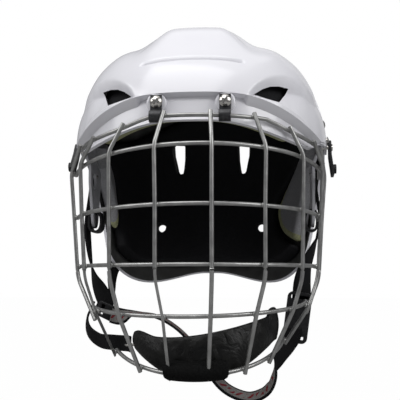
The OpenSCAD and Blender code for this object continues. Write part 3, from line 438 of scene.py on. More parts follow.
def frontInset(u, w, p):
    x, z = seenFlat(p)
    low, full = frontLow(w), browLine(w)
    slope = browSlope(w)
    inset = browInset(w) * (1 - max(0.0, min(1.0, (u - full + slope) / slope)))
    edgeShare = (1 - smooth(low, low + turnedEdge["tall"], u)) * (1 - smooth(*turnedEdge["ends"], abs(w)))
    inset -= turnedEdge["out"] * edgeShare
    if p.y < -25 and scoop["span"][0] < x < scoop["span"][1] and u > full:
        inset += scoopInset(x, z)
    # groove over the brow panel: it deepens downward and ends on the panel's sharp edge
    down, tall = underLine(groove, u, p.x), groove["tall"]
    turn = tall - groove["edge"]
    if 0 < down < tall:
        reach = groove["deep"] * (1 - smooth(*groove["ends"], abs(p.x + 0.5)))
        inset += reach * ((down / turn) ** 2.2 if down < turn else (tall - down) / groove["edge"])
    # soft step round the crown's band
    down, tall = underLine(crownStep, u, p.x), crownStep["tall"]
    turn = tall - crownStep["edge"]
    if 0 < down < tall:
        reach = crownStep["deep"] * (1 - smooth(*crownStep["ends"], abs(p.x)))
        inset += reach * (smooth(0, turn, down) if down < turn else 1 - smooth(turn, tall, down))
    return inset


# lines on the rear shell: one across it, one down each side, and the swelling over its lower edge
rearLines = {"across": 176, "acrossBow": 3, "acrossDeep": 1.6, "acrossWide": 2.2, "acrossEnds": (24, 30),
             "down": 30, "downSpread": 10, "downDeep": 1.4, "downWide": 2.0, "downTop": (98, 112),
             "downFoot": (176, 190), "edgeOut": 0.5, "edgeUp": 6, "edgeWide": 3.0}


def swell(x, wide):
    return math.exp(-(x / wide) ** 2)


def rearInset(u, w):
    r = rearLines
    across = r["across"] + r["acrossBow"] * math.cos(math.radians(w * 2.4))
    inset = r["acrossDeep"] * swell(u - across, r["acrossWide"]) * (1 - smooth(*r["acrossEnds"], abs(w)))
    down = r["down"] + r["downSpread"] * smooth(100, 190, u)
    share = smooth(*r["downTop"], u) * (1 - smooth(*r["downFoot"], u))
    inset += r["downDeep"] * swell(abs(w) - down, r["downWide"]) * share
    return inset - r["edgeOut"] * swell(u - rearEnd(w) + r["edgeUp"], r["edgeWide"])


def gridPiece(cols, rows, place):  # a grid laid out by a function of its two shares
    bpy.ops.object.select_all(action="DESELECT")
    bpy.ops.mesh.primitive_grid_add(x_subdivisions=cols, y_subdivisions=rows, size=1)
    obj = bpy.context.object
    for v in obj.data.vertices:
        v.co = place(v.co.x + 0.5, v.co.y + 0.5) * mm
    obj.data.update()
    return obj


def outward(obj, away):  # faces look away from a point
    facesOut(obj)
    score = sum((f.center - away).dot(f.normal) for f in obj.data.polygons)
    if score < 0:
        obj.data.flip_normals()


headMiddle = Vector((0, 0, 0.09))
frontCols = 280
frontRows = [(0, 0), (1, 8), (2, 8), (3, 8), (4, 20), (5, 26), (6, 36), (7, 14)]  # mark and rows up to it
frontTotal = sum(k for _, k in frontRows)
rearGrid = ((150, 130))


def spreadOut(s):  # closer columns near the middle
    return shell["ear"] * (0.78 * (2 * s - 1) + 0.22 * (2 * s - 1) ** 3)


def frontPlace(s, t):
    w = spreadOut(s)
    low, full = frontLow(w), browLine(w)
    up = max(groove["rows"][0], full + 3.5)
    marks = [low, full - browSlope(w), full, full + 2.5, up, max(groove["rows"][1], up + 1), 70, 90]
    row = t * frontTotal
    k = 1
    while k < len(frontRows) - 1 and row > frontRows[k][1] + 1e-6:
        row -= frontRows[k][1]
        k += 1
    u = lerp(marks[k - 1], marks[k], min(1.0, row / frontRows[k][1]))
    base = shellPoint(u, w, 0)
    return shellPoint(u, w, frontInset(u, w, base))


tongue = {"reach": 28, "gap": 0.5, "rows": 8}  # the rear shell's lip under the front shell


def rearPlace(s, t):
    w = lerp(-shell["ear"], shell["ear"], s)
    row = t * rearGrid[1]
    if row < tongue["rows"] - 0.5:
        ring = shell["halfW"] * math.cos(math.radians(w))
        start = math.degrees(math.acos(min(0.94, tongue["reach"] / ring)))
        return shellPoint(lerp(start, 90.25, row / (tongue["rows"] - 1)), w, shell["wall"] + tongue["gap"])
    u = lerp(90.6, rearEnd(w), (row - tongue["rows"]) / (rearGrid[1] - tongue["rows"]))
    return shellPoint(u, w, rearInset(u, w))


def cutWith(obj, cutter, solver="EXACT"):
    addModifier(obj, "BOOLEAN", operation="DIFFERENCE", object=cutter, solver=solver)
    applyAll(obj)
    bpy.data.objects.remove(cutter)


def prism(points, depth, place, turnMatrix):  # flat outline pushed along its own z
    bpy.ops.object.select_all(action="DESELECT")
    bpy.ops.mesh.primitive_circle_add(vertices=len(points), radius=0.01, fill_type="NGON")
    obj = bpy.context.object
    for v, q in zip(obj.data.vertices, points):
        v.co = Vector((q[0], q[1], -depth / 2)) * mm
    bpy.ops.object.mode_set(mode="EDIT")
    bpy.ops.mesh.select_all(action="SELECT")
    bpy.ops.mesh.extrude_region_move(TRANSFORM_OT_translate={"value": (0, 0, depth * mm)})
    bpy.ops.object.mode_set(mode="OBJECT")
    facesOut(obj)
    obj.data.transform(Matrix.Translation(Vector(place) * mm) @ turnMatrix)
    return obj


# vents and holes of the rear shell, with what each cut adds all round, its depth and its middle
drop = {"x": 35.6, "z": 121, "halfW": 5.5, "halfH": 16, "shell": (0, 60, 115), "pad": (1.5, 80, 105)}
hole = {"x": 54, "z": 44.5, "r": 4, "sides": 24, "shell": (0, 90, 95), "pad": (1.5, 110, 85)}


def dropOutline(side, grow):  # vent shaped like a drop, its outer side slanting in to a narrow foot
    w, h = drop["halfW"] + grow, drop["halfH"] + grow
    points = [(-w, h - 1.5), (1 - w, h), (w - 1, h), (w, h - 1.5), (w - 0.4, 4), (w - 2.2, -4),
              (1.6 + grow, 3.5 - h), (0.2 + grow, 0.8 - h), (-1.4, -h), (-2.9 - grow, 0.8 - h),
              (-3.8 - grow, 5 - h), (0.5 - w, -2)]
    return [(side * (drop["x"] + x), drop["z"] + z) for x, z in points]


def holeOutline(side, grow):
    turns = [2 * math.pi * k / hole["sides"] for k in range(hole["sides"])]
    r = hole["r"] + grow
    return [(side * hole["x"] + r * math.cos(a), hole["z"] + r * math.sin(a)) for a in turns]


def cutRear(obj, what):  # both vents and both holes, cut straight back
    facing = Matrix.Rotation(math.radians(90), 4, "X")
    for side in (-1, 1):
        for form, outline in ((drop, dropOutline), (hole, holeOutline)):
            grow, depth, middle = form[what]
            cutWith(obj, prism(outline(side, grow), depth, (0, middle, 0), facing))


clips = {"x": 26.75, "screwZ": 125.5, "bossR": 8.0, "bossDepth": 12.0, "bossEdge": 1.6, "seatY": -129.68}

frontSkin = gridPiece(frontCols, frontTotal, frontPlace)
outward(frontSkin, headMiddle)
thicken(frontSkin, shell["wall"])
for side in (-1, 1):
    cutter = prism([(side * x, z) for x, z in scoop["mouth"]], 60, (0, 0, 0), Matrix.Identity(4))
    for v in cutter.data.vertices:  # the outline runs along the lines of sight
        y = -0.15 if v.co.z < 0 else -0.065
        k = seenScale(y / mm)
        v.co = (v.co.x / k, y, (v.co.y + seen["level"] * mm) / k - seen["level"] * mm)
    outward(cutter, Vector((side * 0.07, -0.11, 0.15)))
    cutWith(frontSkin, cutter, "FAST")
bosses = []
for side in (-1, 1):  # seats of the clips
    bpy.ops.object.select_all(action="DESELECT")
    deep = clips["bossDepth"]
    bpy.ops.mesh.primitive_cylinder_add(vertices=48, radius=clips["bossR"] * mm, depth=deep * mm)
    boss = bpy.context.object
    seat = Vector((side * clips["x"], clips["seatY"] + deep / 2, clips["screwZ"])) * mm
    boss.data.transform(Matrix.Translation(seat) @ Matrix.Rotation(math.radians(90), 4, "X"))
    bosses.append(roundEdges(boss, clips["bossEdge"], 4, 40))
only(frontSkin)
for boss in bosses:
    boss.select_set(True)
bpy.ops.object.join()
print("front shell cut")

rearSkin = gridPiece(rearGrid[0], rearGrid[1], rearPlace)
outward(rearSkin, headMiddle)
thicken(rearSkin, shell["wall"])
cutRear(rearSkin, "shell")
print("rear shell cut")
finishPiece(frontSkin, "frontShellSkin", "helmet", shellGloss, ["front_shell"], 40)
finishPiece(rearSkin, "rearShellSkin", "rear", shellGloss, ["rear_shell"], 40)
# faces turned in toward the head get the dark grey of painted shade
for skin in (frontSkin, rearSkin):
    skin.data.materials.append(shellInsidePaintedShade)
    for face in skin.data.polygons:
        if (face.center - headMiddle).normalized().dot(face.normal) < -0.3:
            face.material_index = 1

# cage: the same arcs as the solids, round and with a bead at every weld

cage = {"turn": 10.0, "axisY": -51.505, "reach": 100.5, "topR": 89.5, "topZ": 113.0, "wire": 3.3, "gap": 0.06,
        "roundness": 3}
topBack = cage["reach"] - cage["topR"]
rows = {  # cross wires from the top down: the lower ones also climb to the viewer's right
    "z": [cage["topZ"], 90, 45, 0, -38, -82.5], "back": [topBack, 3, 3, 3, 11.5, 28],
    "half": [0, 106, 104, 100.5, 88.5, 73], "deep": [0, 107, 107, 107, 82, 82],
    "rise": [0, -0.14, -0.045, 0, 0.1, 0.34], "tilt": [0, 0, 0, 0, 0.027, 0.06]}
barShare = [[0, 0, 0, 0, 0, 0], [34, 0.385, 0.385, 0.395, 0.38, 0.38], [64.5, 0.695, 0.705, 0.72, 0.73, 0.67],
            [87, 0.905, 0.915, 0.92, 0.922, 0.937], [98, 0.986, 0.987, 0.985, 0.978, 0.978]]
topSide = [(54.5, 28, 110.3), (64.5, 32.6, 106.5), (77, 40, 102.8), (87, 49.5, 100.2), (94, 60, 98.4),
           (98, 74, 97.2), (99, 79, 96.8)]
topSideBar = [0, 0, 1, 3, 5]
wireR = cage["wire"] / 2
weldPitch = cage["wire"] + cage["gap"]
cageTurn = (Matrix.Translation((0, cage["axisY"], 0)) @ Matrix.Rotation(math.radians(cage["turn"]), 4, "Z")
            @ Matrix.Translation((0, -cage["reach"], 0)))


def rowPoint(r, q):  # a cross wire's point at a share of its half width
    row = {k: v[r] for k, v in rows.items()}
    x, back = row["half"] * q, row["deep"] * (1 - math.sqrt(1 - q * q))
    return Vector((x, row["back"] + back, row["z"] + row["rise"] * back + row["tilt"] * x))


def sidePoint(r, q, side):  # the left side's points are mirrored to the right
    p = rowPoint(r, side * q)
    return Vector((side * p.x, p.y, p.z))


def topArc(x):
    return Vector((x, topBack + cage["topR"] - math.sqrt(cage["topR"] ** 2 - x * x), cage["topZ"]))


def cagePoint(k, r, side):
    if r > 0:
        return sidePoint(r, barShare[k][r], side)
    return topArc(barShare[k][0]) if k < 2 else Vector(topSide[topSideBar[k]])


def rowWay(k, r, side):
    if r > 0:
        q = barShare[k][r]
        return (sidePoint(r, q + 0.01, side) - sidePoint(r, q - 0.01, side)).normalized()
    if k < 2:
        return (topArc(barShare[k][0] + 1) - topArc(barShare[k][0] - 1)).normalized()
    i = topSideBar[k]
    return (Vector(topSide[i + 1]) - Vector(topSide[max(i - 1, 0)])).normalized()


barCut = [0, 4.5, 3, 3, 7, 3, 0]


def barPath(k, side):
    stops = [cagePoint(k, r, side) for r in range(5 if k == 4 else 6)]
    last = len(stops) - 1
    corners = []
    for r in range(last + 1):
        tIn = stops[r] - stops[max(r - 1, 0)] if r else stops[1] - stops[0]
        tOut = stops[min(r + 1, last)] - stops[r] if r < last else stops[last] - stops[last - 1]
        tIn, tOut = tIn.normalized(), tOut.normalized()
        t = (tIn + tOut).normalized()
        out = t.cross(rowWay(k, r, side)).normalized()
        half = math.acos(min(1, t.dot(tIn)))
        corners.append(stops[r] + out * (weldPitch / math.cos(half) + barCut[r] * math.sin(half) / 2))
    bend = corners[3] + (corners[3] - corners[2]).normalized() * 9
    top = corners[0] + (corners[0] - corners[1]).normalized() * (wireR + 0.5)
    foot = corners[last] + (corners[last] - corners[last - 1]).normalized() * (10 if k == 4 else wireR + 1)
    pts = [top, corners[1], corners[2], corners[3], bend] + ([] if k == 4 else [corners[4]]) + [foot]
    path = [pts[0]]
    for i in range(1, len(pts) - 1):
        p, q = (pts[i - 1] - pts[i]).normalized(), (pts[i + 1] - pts[i]).normalized()
        a, b = pts[i] + p * barCut[i], pts[i] + q * barCut[i]
        for s in range(7):
            f = s / 6
            path.append(a * (1 - f) ** 2 + pts[i] * 2 * f * (1 - f) + b * f * f)
    path.append(pts[-1])
    return path, corners


def mix3(a, b, c, d, t):  # a smooth curve from b to c
    return 0.5 * ((2 * b) + (c - a) * t + (2 * a - 5 * b + 4 * c - d) * t * t
                  + (3 * b - a - 3 * c + d) * t * t * t)


def eased(pts, steps):
    n = len(pts) - 1
    out = [mix3(pts[max(i - 1, 0)], pts[i], pts[i + 1], pts[min(i + 2, n)], k / steps)
           for i in range(n) for k in range(steps)]
    return out + [pts[n]]


def wireTube(points):  # a round wire through points given in millimetres
    curve = bpy.data.curves.new("wire", "CURVE")
    curve.dimensions = "3D"
    curve.bevel_depth = wireR * mm
    curve.bevel_resolution = cage["roundness"]
    curve.use_fill_caps = True
    spline = curve.splines.new("POLY")
    spline.points.add(len(points) - 1)
    for q, p in zip(spline.points, points):
        q.co = (*(p * mm), 1)
    obj = bpy.data.objects.new("wire", curve)
    bpy.context.collection.objects.link(obj)
    only(obj)
    bpy.ops.object.convert(target="MESH")
    return facesOut(bpy.context.object)


def inCage(p, side=1):  # from the cage's own plan, which its left side mirrors
    return cageTurn @ Vector((side * p.x, p.y, p.z))


crossings = []
for r in range(6):
    endShare = barShare[3 if r == 5 else 4][r] + 0.006
    if r == 0:
        right = [topArc(45 * k / 12) for k in range(1, 13)] + eased([Vector(p) for p in topSide], 3)
        left = [Vector((-p.x, p.y, p.z)) for p in reversed(right)]
        points = left + [topArc(0)] + right
    else:
        points = [rowPoint(r, math.sin(math.asin(endShare) * k / 30)) for k in range(-30, 31)]
    wire = wireTube([inCage(p) for p in points])
    number = str(r + 1)
    finishPiece(wire, "crossWire" + number, "cage", cageSteel, ["cage_wire_" + number], 50)
for k in range(5):
    for side in ((1,) if k == 0 else (-1, 1)):
        path, barCorners = barPath(k, side)
        bar = wireTube([inCage(p, side) for p in path])
        name = "center" if k == 0 else ("left_%d" if side < 0 else "right_%d") % k
        title = "bar" + name.title().replace("_", "")
        finishPiece(bar, title, "cage", cageSteel, ["cage_bar_" + name], 50)
        for r, c in enumerate(barCorners):
            a = cagePoint(k, r, side)
            crossings.append((inCage((a + c) / 2, side), inCage(c, side) - inCage(a, side)))

bpy.ops.object.select_all(action="DESELECT")
beadSize = (0.0021, 0.0021, 0.0012, 1)
beads = []
for at, way in crossings:  # a small bead of weld at each crossing
    bpy.ops.mesh.primitive_uv_sphere_add(segments=12, ring_count=8, radius=1)
    bead = bpy.context.object
    turnTo = way.to_track_quat("Z", "Y").to_matrix().to_4x4()
    bead.data.transform(Matrix.Translation(at * mm) @ turnTo @ Matrix.Diagonal(beadSize))
    beads.append(bead)
bpy.ops.object.select_all(action="DESELECT")
for bead in beads:
    bead.select_set(True)
bpy.context.view_layer.objects.active = beads[0]
bpy.ops.object.join()
finishPiece(bpy.context.object, "cageWelds", "cage", cageSteel, angle=60)
print("cage made,", len(crossings), "welds")

# pads: coarse cells, given their thickness and then rounded


def padPiece(name, body, material, node, place, inset, thick, cells):
    def lay(s, t):
        u, w = place(s, t)
        return shellPoint(u, w, inset)
    obj = gridPiece(cells[0], cells[1], lay)
    outward(obj, headMiddle)
    thicken(obj, thick, levels=2)
    finishPiece(obj, name, body, material, [node], 60)
    return obj


def between(wFrom, wTo, uFrom, uTo):  # a patch between two angles to the sides and two lines up and down
    def place(s, t):
        w = lerp(wFrom, wTo, s)
        return lerp(uFrom(w), uTo(w), t), w
    return place


def frontRow(k):
    return lambda w: lerp(shell["browAngle"], 90, k / 8)


def rearAt(w, row):
    return lerp(90.6, rearEnd(w), row / 14)


def rearRow(k):
    return lambda w: rearAt(w, k)


def padSplit(u, side):  # line between the black foam and the temple pads: it curves in toward the jaw
    if side < 0:
        return 75 - 14 * smooth(158, 210, u) - 13 * smooth(205, 231, u)
    return 72 - 12 * smooth(140, 178, u) - 24 * smooth(174, 200, u) + 11 * smooth(208, 238, u)


def settled(row, width, start):  # where a line across the shell meets a row
    u = rearAt(start, row)
    for _ in range(5):
        u = rearAt(width(u), row)
    return width(u)


def templePlace(side):
    def place(s, t):
        row, out = lerp(4, 13.4, t), s if side > 0 else 1 - s
        w = settled(row, lambda u: lerp(padSplit(u, side), 79, out), 64)
        return rearAt(w, row), side * w
    return place


def backPlace(s, t):
    row, share = lerp(6, 13.75, t), 2 * s - 1
    w = settled(row, lambda u: (padSplit(u, share) - 2) * share, 64 * abs(share))
    return rearAt(w, row - 0.5 * smooth(8, 24, abs(w)) * smooth(12.9, 13.75, row)), w


pads = {"in": shell["wall"] + 0.9, "foam": 13.4, "temple": 14, "templeEdge": 0.09, "foreheadEdge": 0.045,
        "foreheadHalf": 42, "crownHalf": 48, "crownTop": 66, "foot": 1.3}
foreheadPlace = between(-pads["foreheadHalf"], pads["foreheadHalf"], lambda w: frontLow(w) + pads["foot"],
                        frontRow(3))
crownPlace = between(-pads["crownHalf"], pads["crownHalf"], frontRow(4), lambda w: pads["crownTop"])
rearCrownPlace = between(-pads["crownHalf"], pads["crownHalf"], rearRow(1), rearRow(5))
forehead = padPiece("foreheadFoam", "helmet", foamBlack, "forehead_pad", foreheadPlace,
                    pads["in"] + shell["browSink"], pads["foam"], (15, 7))
padPiece("crownFoam", "helmet", foamBlack, "crown_pad", crownPlace, pads["in"], pads["foam"],
         (14, 4))
padPiece("rearCrownFoam", "rear", foamBlack, "rear_crown_pad", rearCrownPlace, pads["in"],
         pads["foam"], (14, 7))
occipital = padPiece("occipitalFoam", "rear", foamBlack, "occipital_pad", backPlace, pads["in"],
                     pads["foam"], (20, 14))
cutRear(occipital, "pad")
only(occipital)
bpy.ops.object.shade_smooth_by_angle(angle=math.radians(50))


def edgeFaces(pad, wanted):  # a pale green edge, darkened as painted shade, on the faces that the pad's own map picks
    pad.data.materials.append(padEdgeAndShade)
    uv = pad.data.uv_layers.active.data
    for face in pad.data.polygons:
        loops = face.loop_indices
        n = len(loops)
        if wanted(sum(uv[k].uv.x for k in loops) / n, sum(uv[k].uv.y for k in loops) / n):
            face.material_index = 1


edgeFaces(forehead, lambda s, t: t < pads["foreheadEdge"])
for side, word in ((-1, "Left"), (1, "Right")):
    pad = padPiece("templePad" + word, "rear", padGreyAndShade, "temple_pad_" + word.lower(),
                   templePlace(side), pads["in"], pads["temple"], (5, 14))
    edgeFaces(pad, lambda s, t, side=side: (1 - s if side < 0 else s) < pads["templeEdge"])
print("pads made")

# pieces that keep the solid's shape, with their edges rounded


def softened(node, name, body, material, width):
    source = nodes[node]
    only(source)
    source.hide_viewport = False
    copy = source.copy()
    copy.data = source.data.copy()
    copy.parent = None
    copy.matrix_world = Matrix.Identity(4)
    bpy.context.collection.objects.link(copy)
    only(copy)
    bpy.ops.object.mode_set(mode="EDIT")
    bpy.ops.mesh.select_all(action="SELECT")
    bpy.ops.mesh.remove_doubles(threshold=0.00002)
    bpy.ops.mesh.dissolve_limited(angle_limit=math.radians(1.5))
    bpy.ops.object.mode_set(mode="OBJECT")
    roundEdges(copy, width, 3, 40)
    finishPiece(copy, name, body, material, [node])


for side, word in ((-1, "left"), (1, "right")):
    w = word.title()
    softened("ear_guard_" + word, "earGuard" + w, "helmet", guardGloss, 0.7)
    softened("side_tab_" + word, "sideTab" + w, word + "_tab", rubberBlack, 0.6)
    softened("guard_loop_" + word, "guardLoop" + w, "helmet", rubberBlack, 0.3)
    softened("cage_clip_" + word, "cageClip" + w, "helmet", clipDark, 0.35)
softened("strap_joiner_left", "strapJoiner", "helmet", plasticBlack, 0.7)
softened("strap_buckle_right", "strapBuckle", "helmet", plasticBlack, 1.2)
print("hard pieces softened")

# webbing: flat bands swept along the solids' own points, with a weave that follows them


band = {"steps": 8, "across": 6, "bow": 0.12, "edge": 0.3}


def bandPiece(name, body, material, node, route, looks, width, thick, other=None):
    across = band["across"]
    path = eased([Vector(p) for p in route], band["steps"])
    look = eased([Vector(p) for p in looks], band["steps"])
    last = len(path) - 1
    sides, ups, run = [], [], [0.0]
    for i in range(last + 1):
        go = (path[min(i + 1, last)] - path[max(i - 1, 0)]).normalized()
        side = go.cross(look[i]).normalized()
        sides.append(side)
        ups.append(side.cross(go))
        if i:
            run.append(run[-1] + (path[i] - path[i - 1]).length)

    def place(s, t):
        i = min(last, int(round(t * last)))
        edge = abs(2 * s - 1)
        return path[i] + sides[i] * (width / 2) * (2 * s - 1) + ups[i] * (-band["bow"] * edge ** 6)
    obj = gridPiece(across, last, place)
    uv = obj.data.uv_layers.active.data
    for loop in uv:  # the map in centimetres
        i = min(last, int(round(loop.uv.y * last)))
        loop.uv = (loop.uv.x * width / 10, run[i] / 10)
    flipped = obj.data.polygons[0].normal.dot(ups[0]) > 0
    thicken(obj, thick, offset=0)
    marks = range(across * last) if flipped else range(across * last, 2 * across * last)
    finishPiece(obj, name, body, material, [node], 40)
    if other:  # the band's other face
        obj.data.materials.append(other)
        for i in marks:
            obj.data.polygons[i].material_index = 1
    roundEdges(obj, band["edge"] * thick, 2, 50)


strap = {"w": 16.0, "nape": 14.0, "chin": 15.0, "cup": 13.0, "t": 1.8, "chinT": 1.6, "y": -14.0}
sy = strap["y"]
earTop = [(105.5, sy, 97), (103.8, sy, 90), (103, sy, 84), (103, sy, 72), (105, sy, 56), (106.6, sy, 44)]
earTopLook = [(1, 0, 0.2), (1, 0, 0.1), (1, 0, 0), (1, 0, 0), (1, 0, 0), (1, 0, 0)]
earLow = {
    -1: [(106.2, -14, 30), (103.6, -13, 8), (99.5, -13, -9), (93, -14, -22), (88.6, -14.8, -31.6),
         (91.2, -13.9, -38.9)],
    1: [(104.4, -14, 30), (99.5, -15, 17), (93, -18, 2), (89.4, -22, -12), (88.4, -24.5, -23),
        (87.4, -24.65, -31)]}
earLowLook = {
    -1: [(1, 0.05, 0), (1, -0.1, 0), (0.8, -0.4, 0), (0.5, -0.8, 0), (0.309, -0.951, 0), (0.309, -0.951, 0)],
    1: [(1, 0.05, 0.1), (1, -0.2, 0.2), (0.8, -0.5, 0.2), (0.4, -0.9, 0.1), (0, -1, 0), (0, -1, 0)]}
napeW = 41  # the nape straps run down the shell at this angle, then forward
napeOut = ((224, 1.6), (228, 1.5), (233, 1.7), (239, 2), (246, 2.4))  # angle round the shell, height over it
napeFoot = [(92, 30.5, -10), (90.6, 22, -19), (88.5, 12, -28)]
napeLook = [(1, 0.5, -0.4), (1, 0.5, -0.4), (1, 0.4, -0.45), (1, 0.3, -0.45), (1, 0.25, -0.45),
            (1, 0.4, -0.2), (1, 0.5, 0.1), (1, 0.5, 0.2)]


def mirrored(points, side):
    return [Vector((side * p[0], p[1], p[2])) for p in points]


for side, word in ((-1, "Left"), (1, "Right")):
    bandPiece("earStrap" + word, "helmet", webbing, "ear_strap_" + word.lower(),
              mirrored(earTop + earLow[side], side), mirrored(earTopLook + earLowLook[side], side),
              strap["w"], strap["t"])
    nape = [shellPoint(u, napeW, -out) for u, out in napeOut] + [Vector(p) for p in napeFoot]
    bandPiece("napeStrap" + word, "rear", webbing, "nape_strap_" + word.lower(),
              mirrored(nape, side), mirrored(napeLook, side), strap["nape"], strap["t"])

chinRoute = [(-81.1, -24.1, -41.9), (-77, -25.6, -43), (-70, -29.5, -43.5), (-58, -32, -41), (-42, -38, -42),
             (-26, -46, -48), (-11, -52, -59), (3, -56, -76), (14, -58, -92), (26, -60, -102.5),
             (42, -61, -107.6), (55, -60, -103.5), (61.5, -57, -95), (63.5, -51, -86), (67.5, -43, -76),
             (74.5, -36.9, -67), (79, -36.2, -60), (80.2, -36.2, -53)]
chinLook = [(-0.309, -0.951, 0), (-0.309, -0.951, 0), (-0.2, -0.8, 0.5), (0.05, -0.2, 1), (0.1, -0.05, 1),
            (0.4, 0, 1), (0.6, 0, 0.9), (0.9, -0.2, 0.6), (0.8, -0.4, 0.6), (0.4, -0.4, 0.8), (0, -0.4, 0.9),
            (-0.6, -0.4, 0.7), (-0.9, -0.3, 0.35), (-0.85, 0.05, 0.27), (-0.6, 0.75, 0), (-0.1, 1, 0),
            (0, 1, 0), (0, 1, 0)]
bandPiece("chinStrap", "helmet", webbing, "chin_strap", chinRoute, chinLook, strap["chin"],
          strap["chinT"], webbingPatterned)
cupStrapRoute = [(-97, -30, -33), (-99.5, -40, -46), (-95, -49, -56), (-84, -57, -62.5)]
ringAt = Vector((-52.0, -85.84, -63.5))
byCage = Matrix.Rotation(math.radians(cage["turn"]), 4, "Z")
fromRing = [(-16.4, 20.3, 0.5), (-6, 15.9, 0), (-1.8, 9.9, 0), (-0.9, 3.3, 0)]
cupStrapRoute += [ringAt + byCage @ Vector(p) for p in fromRing]
cupStrapLook = [(-0.9, -0.4, 0.2), (-0.9, -0.4, -0.1), (-0.7, -0.6, -0.3), (-0.5, -0.8, -0.3),
                (-0.5, -0.86, -0.1), (-0.7, -0.7, 0), (-0.85, -0.52, 0), (-0.85, -0.52, 0)]
bandPiece("cupStrap", "cage", webbing, "cup_strap_left", cupStrapRoute, cupStrapLook,
          strap["cup"], strap["t"])
print("webbing made")

# chin cup

cup = {"halfW": 61.0, "deep": 62.0, "frontY": 36.0, "midX": 3.0, "bulge": 3.0, "leftQ": -0.88, "rightQ": 0.97,
       "arc": 78.0, "thick": 4.2, "inset": 0.2}


def cupTop(q):
    return (-54.3 + 16.5 * smooth(-0.45, 0.95, q) + 3.8 * smooth(0.5, 0.76, -q) * (1 - smooth(0.78, 0.95, -q))
            + 6 * smooth(0.68, 0.76, q) * (1 - 0.35 * smooth(0.86, 0.98, q)))  # raised tab at the right end


def cupLow(q):
    return -88 + 32 * smooth(0.2, 1.3, -q) + 26 * smooth(0, 0.9, q)


def cupPoint(q, v, inset):
    z = lerp(cupLow(q), cupTop(q), v)
    out = cup["bulge"] * math.sin(math.pi * min(1, v * 0.9)) - inset
    g = math.radians(cup["arc"] * q)
    p = Vector((cup["midX"] + (cup["halfW"] + out) * math.sin(g) / math.sin(math.radians(cup["arc"])),
                cup["frontY"] + cup["deep"] + 6 * v - (cup["deep"] + out) * math.cos(g), z))
    return inCage(p)


def cupPlace(s, t):
    return cupPoint(lerp(cup["leftQ"] + 0.01, cup["rightQ"] - 0.01, s), lerp(0.03, 0.97, t), cup["inset"])


cupShell = gridPiece(44, 12, cupPlace)
outward(cupShell, Vector((0, -0.06, -0.06)))
thicken(cupShell, cup["thick"], levels=1)
finishPiece(cupShell, "chinCup", "cage", cupCover, ["chin_cup"], 60)

# the cover's sleeve round the lowest wire and the feet of the bars on it

sleeve = {"left": -31, "right": 14, "deep": 7.05, "high": 7.6, "lift": 2.8, "out": 0.55, "steps": 40,
          "sides": 40}
sleeveMid = [rowPoint(5, lerp(sleeve["left"], sleeve["right"], k / sleeve["steps"]) / rows["half"][5])
             for k in range(sleeve["steps"] + 1)]


def sleevePlace(s, t):
    n = sleeve["steps"]
    k = int(round(t * n))
    go = sleeveMid[min(k + 1, n)] - sleeveMid[max(k - 1, 0)]
    e = Vector((go.y, -go.x, 0)).normalized()
    a = 2 * math.pi * s
    r = 1 - 0.12 * (1 - smooth(0, 0.05, min(t, 1 - t)))
    out, up = r * sleeve["deep"] * math.cos(a), r * sleeve["high"] * math.sin(a)
    return inCage(sleeveMid[k] + e * (sleeve["out"] + out) + Vector((0, 0, sleeve["lift"] + up)))


wrap = gridPiece(sleeve["sides"], sleeve["steps"], sleevePlace)
only(wrap)
bpy.ops.object.mode_set(mode="EDIT")
bpy.ops.mesh.select_all(action="SELECT")
bpy.ops.mesh.remove_doubles(threshold=0.00001)
bpy.ops.mesh.select_all(action="DESELECT")
bpy.ops.mesh.select_non_manifold()
bpy.ops.mesh.fill_holes(sides=0)
bpy.ops.object.mode_set(mode="OBJECT")
facesOut(wrap)
finishPiece(wrap, "cupSleeve", "cage", sleeveCloth, ["cup_wrap"], 50)
print("cup made")

for name in ("clip_screws", "clip_nuts", "ear_guard_screws", "size_screws", "size_nuts", "side_tab_rivets",
             "strap_rivets", "nape_rivets", "cup_ring"):  # these keep the solid's mesh
    obj = nodes[name]
    obj.data.materials.clear()
    obj.data.materials.append(chrome)

# studio: a pale floor and backdrop, soft light

studio = {"floorSize": 8, "under": 0.002, "floor": (0.36, 0.36, 0.36, 1), "paperShare": 0.99,
          "air": (0.9, 0.91, 0.95, 1), "airStrength": 0.24}
bpy.ops.object.select_all(action="DESELECT")
bpy.ops.mesh.primitive_plane_add(size=studio["floorSize"], location=(0, 0, cadBox[0][2] - studio["under"]))
floor = bpy.context.object
floor.name = "studioFloor"
paper = bpy.data.materials.new("studio paper")
paper.use_nodes = True
tree = paper.node_tree
shader = tree.nodes["Principled BSDF"]
shader.inputs["Base Color"].default_value = studio["floor"]
shader.inputs["Roughness"].default_value = 0.9
glow = tree.nodes.new("ShaderNodeEmission")
glow.inputs["Strength"].default_value = 1.0
path = tree.nodes.new("ShaderNodeLightPath")
mixer = tree.nodes.new("ShaderNodeMixShader")
share = tree.nodes.new("ShaderNodeMath")
share.operation = "MULTIPLY"
share.inputs[1].default_value = studio["paperShare"]
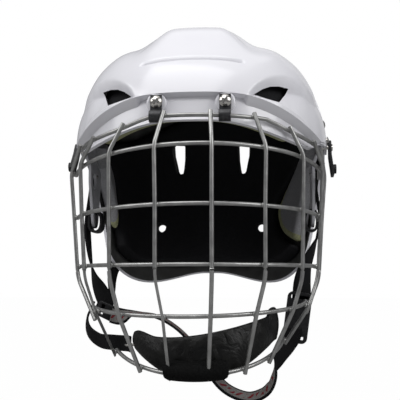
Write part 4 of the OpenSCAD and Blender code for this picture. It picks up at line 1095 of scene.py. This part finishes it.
tree.links.new(path.outputs["Is Camera Ray"], share.inputs[0])
tree.links.new(share.outputs[0], mixer.inputs["Fac"])
tree.links.new(shader.outputs["BSDF"], mixer.inputs[1])
tree.links.new(glow.outputs["Emission"], mixer.inputs[2])
tree.links.new(mixer.outputs["Shader"], tree.nodes["Material Output"].inputs["Surface"])
floor.data.materials.append(paper)

world = bpy.data.worlds.new("studio air")
bpy.context.scene.world = world
world.use_nodes = True
tree = world.node_tree
air = tree.nodes["Background"]
air.inputs["Color"].default_value = studio["air"]
air.inputs["Strength"].default_value = studio["airStrength"]
white = tree.nodes.new("ShaderNodeBackground")
white.inputs["Color"].default_value = (1, 1, 1, 1)
white.inputs["Strength"].default_value = 1.0
path = tree.nodes.new("ShaderNodeLightPath")
mixer = tree.nodes.new("ShaderNodeMixShader")
share = tree.nodes.new("ShaderNodeMath")
share.operation = "MAXIMUM"
tree.links.new(path.outputs["Is Camera Ray"], share.inputs[0])
tree.links.new(path.outputs["Is Transmission Ray"], share.inputs[1])
tree.links.new(share.outputs[0], mixer.inputs["Fac"])
tree.links.new(air.outputs["Background"], mixer.inputs[1])
tree.links.new(white.outputs["Background"], mixer.inputs[2])
tree.links.new(mixer.outputs["Shader"], tree.nodes["World Output"].inputs["Surface"])

lamps = {  # place in metres, power, size
    "key": ((-0.25, -0.65, 1.3), 10.5, 1.1),
    "right": ((0.98, -0.6, 0.65), 6.0, 0.7),
    "left": ((-0.98, -0.5, 0.75), 4.8, 0.7),
    "top": ((0.0, 0.1, 1.25), 2.0, 1.0),
    "back": ((0.2, 1.1, 0.6), 1.0, 1.0)}
for name, (place, power, size) in lamps.items():
    bpy.ops.object.light_add(type="AREA", location=place)
    lamp = bpy.context.object
    lamp.name = name + "Lamp"
    lamp.data.energy = power
    lamp.data.size = size
    lamp.rotation_euler = (Vector((0, -0.02, 0.06)) - Vector(place)).to_track_quat("-Z", "Y").to_euler()
print("studio made")


def corners(box):
    return [[float(v) for v in p] for p in box]
